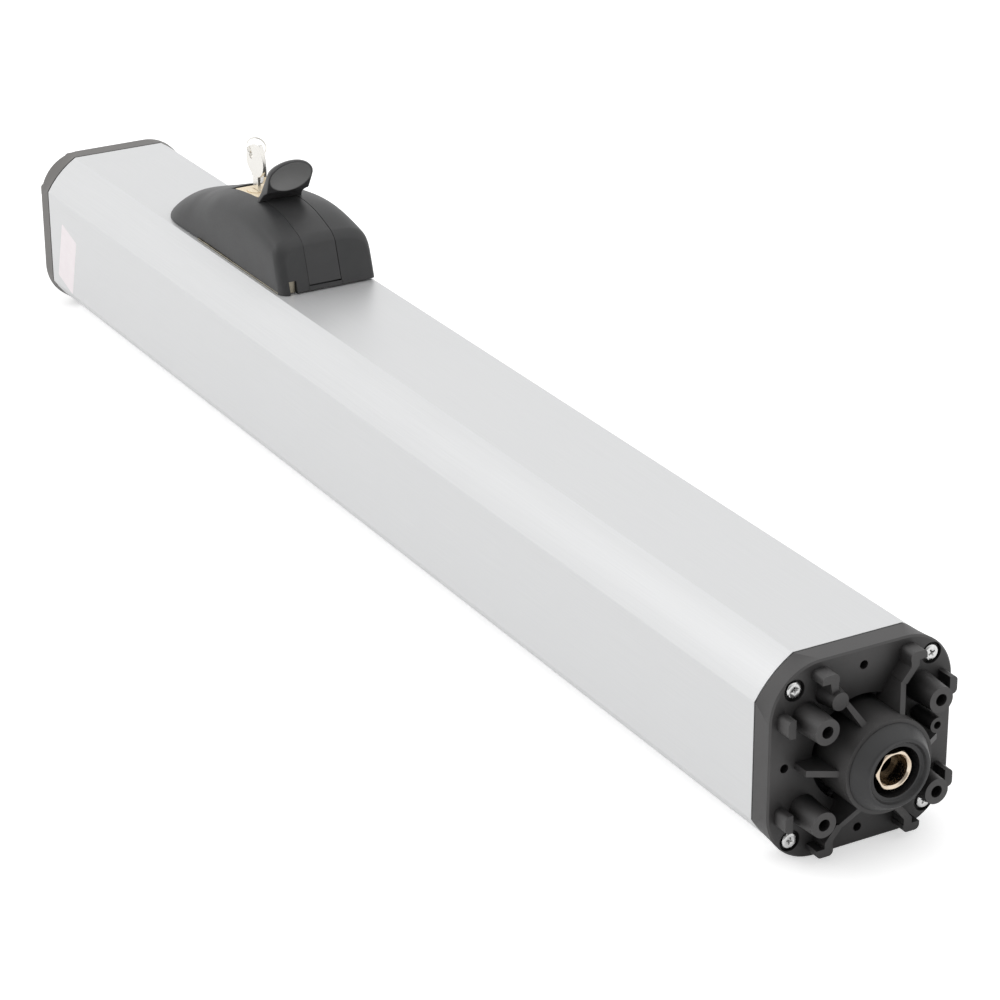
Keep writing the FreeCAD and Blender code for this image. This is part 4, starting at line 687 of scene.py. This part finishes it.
ear_inner, ear_outer, ear_top = 0.0182, 0.0228, 0.0577
flange_end, flange_start, flange_top = 0.1145, 0.0045, 0.0513
raised_from, raised_foot = -0.0170, 0.0511
front_band = cover_front - 0.012
clear_of_front, clear_of_side = cover_front + 0.01, 0.04
clear_below, clear_above = 0.045, 0.1
select_only(dome)
bpy.ops.object.mode_set(mode="EDIT")
open_up(dome, (cover_front - slot_end, -slot_half, clear_below),
        (clear_of_front, slot_half, clear_above))
open_up(dome, (front_band, -ear_outer, clear_below), (clear_of_front, -ear_inner, ear_top))
open_up(dome, (cover_front - flange_end, -clear_of_side, clear_below),
        (cover_front - flange_start, clear_of_side, flange_top))
open_up(dome, (front_band, raised_from, clear_below), (clear_of_front, clear_of_side, raised_foot))
bpy.ops.object.mode_set(mode="OBJECT")
apply_modifier(dome, "SOLIDIFY", thickness=cover_wall, offset=-1, use_even_offset=False)
for vertex in dome.data.vertices:
    vertex.co.z = max(vertex.co.z, cover_foot)
sill_top, sill_edge, sill_wall, sill_overlap = 0.0534, 0.00022, 0.0012, 0.001
sill_middle = (raised_foot + sill_top) / 2
bpy.ops.object.select_all(action="DESELECT")
bpy.ops.mesh.primitive_cube_add(size=1, location=(0, 0, sill_middle),
                                scale=(sill_wall, 2 * slot_half + sill_overlap, sill_top - raised_foot))
sill = bpy.context.object
bpy.ops.object.transform_apply(location=True, scale=True)
for vertex in sill.data.vertices:
    wall = 0.0 if vertex.co.x > 0 else (sill_edge if vertex.co.z > sill_middle else sill_wall)
    vertex.co.x = front_plane(vertex.co.z) - wall
dome.select_set(True)
bpy.context.view_layer.objects.active = dome
bpy.ops.object.join()
cover_edge, cover_angle = 0.00018, 38
break_edges(dome, cover_edge, cover_angle)
smooth(dome)
put_on(dome, cover_nylon, "hood_shell")


# Cover bracket
# A bent plate of passivated steel screwed to the extrusion; its edge shows along the hood's foot
# and its two ears hold the lever's pin.
dull_plate, surface, place = new_finish("dull_passivation", (0.42, 0.38, 0.30), 0.4, metallic=1.0)
stains = grain(place, 0.004, detail=3.0)
# Painted shadow: below the cover's foot the plate is painted near-black, a shadow gap under the cover.
painted_shadow_under_cover = place.sum("LESS_THAN", along(place, "Z"), cover_foot + 0.0001)
stained = blend_colours(stains, (0.30, 0.27, 0.21), (0.47, 0.43, 0.34))
place.feed(surface.inputs["Base Color"], mix(place, painted_shadow_under_cover * 0.9, stained, (0.02, 0.02, 0.02, 1)))
place.feed(surface.inputs["Roughness"], between(stains, 0.34, 0.5))
finished("hood_bracket", dull_plate, 0.00025)
finished("bracket_screws", plated, 0.0003)


# Release lever
# A moulded strap that fills the cover's slot and turns on a steel pin at its foot, with a dished thumb
# paddle that leans forward, whose dish is painted paler as painted light. Its two prongs lift the release
# spindle.
lever_nylon = moulded("lever_nylon", (0.036, 0.036, 0.037), (0.043, 0.043, 0.044), 0.42, painted_recess_tone=1.0)
strap_left, strap_right, strap_wall = -0.0102, 0.0100, 0.0042
strap_end, strap_foot = 0.0620, 0.0542
select_only(strap)
bpy.ops.object.mode_set(mode="EDIT")
cut_at(strap, (0, strap_left, 0), (0, 1, 0), clear_inner=True)
cut_at(strap, (0, strap_right, 0), (0, 1, 0), clear_outer=True)
cut_at(strap, (cover_front - strap_end, 0, 0), (1, 0, 0), clear_inner=True)
cut_at(strap, (0, 0, strap_foot), (0, 0, 1), clear_inner=True)
bpy.ops.object.mode_set(mode="OBJECT")
apply_modifier(strap, "SOLIDIFY", thickness=strap_wall, offset=-1, use_even_offset=False)
break_edges(strap, cover_edge, cover_angle)

hinge_top, hinge_overlap = 0.0595, 0.0001
inner_face = Vector((1, 0, front_lean)).normalized()
hinge = copy_of("release_lever", "hinge")
behind_strap = Vector((front_plane(cover_foot), 0, cover_foot)) - inner_face * (strap_wall - hinge_overlap)
cut_at(hinge, (0, 0, hinge_top), (0, 0, 1), clear_outer=True, use_fill=True)
cut_at(hinge, behind_strap, inner_face, clear_outer=True, use_fill=True)
bpy.ops.object.mode_set(mode="OBJECT")

paddle_lean = math.radians(25)
paddle_up = Vector((math.sin(paddle_lean), 0, math.cos(paddle_lean)))
paddle_front = Vector((math.cos(paddle_lean), 0, -math.sin(paddle_lean)))
sideways = Vector((0, 1, 0))
dish_middle = Vector((cover_front - 0.0412, 0, 0.1057))
dish_half, dish_rise, dish_depth, dish_up = 0.0134, 0.0108, 0.0035, 0.0190
paddle_root = dish_middle - paddle_up * dish_up
paddle_half, paddle_arch, paddle_foot = 0.0142, 0.0112, -0.0055
front_round, neck_round, tip_round = 0.0005, 0.003, 0.007
lip_up, neck_length, neck_depth = dish_up - dish_rise, 0.0105, 0.0058
back_depth, back_slope = 0.0110, 0.155
neck_draw, foot_flare = 0.0011, 0.0008
seat_rise, seat_drop, seat_half, seat_gap = 0.0385, 0.0043, 0.028, 0.0003
foot_steps, side_steps, top_steps = 8, 24, 24
dish_rows, lip_rows, front_rows, side_rows, back_rows = 14, 10, 4, 12, 8


def front_depth(up):
    """Below the dish's lip the neck's front curves back to the strap."""
    below = min(1.0, max(0.0, (lip_up - up) / neck_length))
    return neck_depth * (1 - (1 - below) ** 1.6)


def rear_depth(up):
    return back_depth - back_slope * (up - paddle_foot)


def half_at(up):
    """The neck narrows a little and spreads again at its foot."""
    drawn = min(1.0, max(0.0, (0.018 - up) / 0.016))
    flared = min(1.0, max(0.0, -up / 0.004))
    return paddle_half - neck_draw * drawn + foot_flare * flared


def half_outline():
    """The paddle's edge from the middle of its foot, up one side and over to the middle of its top."""
    points = [(half_at(paddle_foot) * step / foot_steps, paddle_foot) for step in range(foot_steps)]
    for step in range(side_steps):
        up = paddle_foot + (dish_up - paddle_foot) * step / side_steps
        points.append((half_at(up), up))
    for step in range(top_steps + 1):
        turn = math.pi / 2 * step / top_steps
        points.append((paddle_half * math.cos(turn), dish_up + paddle_arch * math.sin(turn)))
    return points


right_side = half_outline()
paddle_edge = right_side + [(-y, up) for y, up in reversed(right_side[:-1])]


def paddle_point(y, up, depth):
    """A point of the paddle in the part's own axes, kept just above the cover's crest."""
    point = paddle_root + sideways * y + paddle_up * up - paddle_front * depth
    crest = cover_foot + seat_rise - seat_drop * (y / seat_half) ** 2 + seat_gap
    return point + paddle_up * (max(0.0, crest - point.z) / paddle_up.z)


def edge_inset(up):
    """How far the back's edge is rounded in: little at the neck and much at the tip."""
    return neck_round + (tip_round - neck_round) * min(1.0, max(0.0, (up - 0.008) / 0.02))


def drawn_in(y, up, inset):
    """A point of the edge moved in toward the paddle's middle."""
    if up > dish_up:
        up = dish_up + (up - dish_up) * (1 - inset / paddle_arch)
    return y * (1 - inset / paddle_half), up


def dish_turn(y, up):
    return math.atan2((up - dish_up) / dish_rise, y / dish_half)


rows = []
for step in range(dish_rows + 1):
    out = step / dish_rows
    hollow = dish_depth * (1 - out ** 2) * (1 - 0.12 * out ** 2)
    turns = [dish_turn(y, up) for y, up in paddle_edge]
    rows.append([paddle_point(dish_half * out * math.cos(turn),
                              dish_up + dish_rise * out * math.sin(turn), hollow) for turn in turns])
for step in range(1, lip_rows + 1):
    row = []
    for y, up in paddle_edge:
        turn = dish_turn(y, up)
        lip = Vector((dish_half * math.cos(turn), dish_up + dish_rise * math.sin(turn)))
        y, up = lip.lerp(Vector(drawn_in(y, up, front_round)), step / lip_rows)
        row.append(paddle_point(y, up, front_depth(up)))
    rows.append(row)
for step in range(1, front_rows + 1):
    turn = math.pi / 2 * step / front_rows
    row = []
    for y, up in paddle_edge:
        y, up = drawn_in(y, up, front_round * (1 - math.sin(turn)))
        row.append(paddle_point(y, up, front_depth(up) + front_round * (1 - math.cos(turn))))
    rows.append(row)
for step in range(1, side_rows + 1):
    turn = math.pi / 2 * step / side_rows
    row = []
    for y, up in paddle_edge:
        front = front_depth(up) + front_round
        y, up = drawn_in(y, up, edge_inset(up) * (1 - math.cos(turn)))
        row.append(paddle_point(y, up, front + (rear_depth(up) - front) * math.sin(turn)))
    rows.append(row)
for step in range(1, back_rows + 1):
    row = []
    for y, up in paddle_edge:
        y, up = Vector(drawn_in(y, up, edge_inset(up))).lerp(Vector((0, dish_up)), step / back_rows)
        row.append(paddle_point(y, up, rear_depth(up)))
    rows.append(row)
paddle = sheet_through("paddle", rows)
bpy.ops.object.select_all(action="DESELECT")
root_middle, root_size = (cover_front - 0.0583, -0.0001, 0.0882), (0.0045, 0.0198, 0.0024)
bpy.ops.mesh.primitive_cube_add(size=1, location=root_middle, scale=root_size)
root = bpy.context.object
for member in (paddle, hinge, root, strap):
    member.select_set(True)
bpy.context.view_layer.objects.active = strap
bpy.ops.object.join()
bpy.ops.object.mode_set(mode="EDIT")
bpy.ops.mesh.select_all(action="SELECT")
bpy.ops.mesh.normals_make_consistent(inside=False)
bpy.ops.object.mode_set(mode="OBJECT")
smooth(strap, 25)
put_on(strap, lever_nylon, "release_lever")

# Painted light: the paddle's dish is painted a paler grey, standing in for the light it catches.
dish_light_from, dish_light_to, dish_light_share = 0.95, 1.02, 0.85
dish_light_back, dish_light_front = -0.0045, 0.0006
painted_dish_light_grey = (0.235, 0.235, 0.233, 1)
dish_light = Shade(lever_nylon.node_tree)
spot = dish_light.node("TexCoord", {}, {}, "Object")
spot = dish_light.node("VectorMath", {"operation": "SUBTRACT"}, {0: spot, 1: dish_middle})
aside = dish_light.node("VectorMath", {"operation": "DOT_PRODUCT"}, {0: spot, 1: sideways / dish_half}, "Value")
upward = dish_light.node("VectorMath", {"operation": "DOT_PRODUCT"}, {0: spot, 1: paddle_up / dish_rise}, "Value")
forward = dish_light.node("VectorMath", {"operation": "DOT_PRODUCT"}, {0: spot, 1: paddle_front}, "Value")
away = dish_light.sum("POWER", aside * aside + upward * upward, 0.5)
in_dish = dish_light.node("MapRange", {}, {"Value": away, "From Min": dish_light_from, "From Max": dish_light_to,
                                     "To Min": 1.0, "To Max": 0.0})
in_front = dish_light.sum("GREATER_THAN", forward, dish_light_back) * dish_light.sum("LESS_THAN", forward, dish_light_front)
nylon_surface = lever_nylon.node_tree.nodes["Principled BSDF"]
plain = Shade(lever_nylon.node_tree, nylon_surface.inputs["Base Color"].links[0].from_socket)
dish_light.feed(nylon_surface.inputs["Base Color"],
          mix(dish_light, in_dish * in_front * dish_light_share, plain, painted_dish_light_grey))
clad(steel, "lever_pin")


# Lock
# A brass lock body behind the paddle with its turning plug flush in its face.
brass, surface, place = new_finish("bare_brass", (0.97, 0.88, 0.71), 0.3, metallic=0.35)
brushed = grain(place, 0.0002, stretch=(30, 1, 30))
place.feed(surface.inputs["Base Color"], blend_colours(brushed, (0.94, 0.77, 0.52), (0.98, 0.88, 0.70)))
place.feed(surface.inputs["Roughness"], between(brushed, 0.24, 0.38))
emboss(surface, brushed, 0.000002)
finished("lock_body", brass, 0.0004)
finished("lock_plug", brass, 0.0002)


# Keys
# Two nickel-plated keys with stamped oval bows on a small wire ring: one stands in the lock and
# the spare hangs behind it.
nickel, surface, place = new_finish("key_nickel", (0.92, 0.90, 0.86), 0.2, metallic=0.85)
rolled = grain(place, 0.0003, stretch=(1, 1, 20), detail=3.0)
place.feed(surface.inputs["Base Color"], blend_colours(rolled, (0.89, 0.87, 0.82), (0.95, 0.93, 0.89)))
place.feed(surface.inputs["Roughness"], between(rolled, 0.16, 0.28))
for key in ("key", "spare_key"):
    finished(key, nickel, 0.00025)
clad(nickel, "key_ring")


# Label
# A bare white sticker near the rear end, put on by hand a little askew.
label_centre = Vector((0.0565, -0.05, -0.0075))
label_width, label_height = 0.0235, 0.0395
label_corner = 0.0015
label_lift = 0.00006
label_tilt = -16.5
bpy.ops.object.select_all(action="DESELECT")
bpy.ops.mesh.primitive_plane_add(size=1, location=label_centre, rotation=(math.radians(90), 0, 0))
label = bpy.context.object
label.name = "side_label"
bpy.ops.object.mode_set(mode="EDIT")
bpy.ops.mesh.select_all(action="SELECT")
bpy.ops.transform.resize(value=(label_width, 1, label_height))
bpy.ops.mesh.bevel(offset=label_corner, segments=4, affect="VERTICES")
bpy.ops.object.mode_set(mode="OBJECT")
label.rotation_euler.rotate_axis("Z", math.radians(label_tilt))
bpy.ops.object.transform_apply(location=True, rotation=True, scale=True)
apply_modifier(label, "SOLIDIFY", thickness=label_lift * 2, offset=0)
vinyl, surface, place = new_finish("white_vinyl", (0.88, 0.86, 0.87), 0.45)
paper = grain(place, 0.004, detail=3.0)
place.feed(surface.inputs["Base Color"], blend_colours(paper, (0.93, 0.86, 0.88), (0.96, 0.90, 0.915)))
place.feed(surface.inputs["Roughness"], between(paper, 0.4, 0.5))
label.data.materials.append(vinyl)
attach(label, "housing")
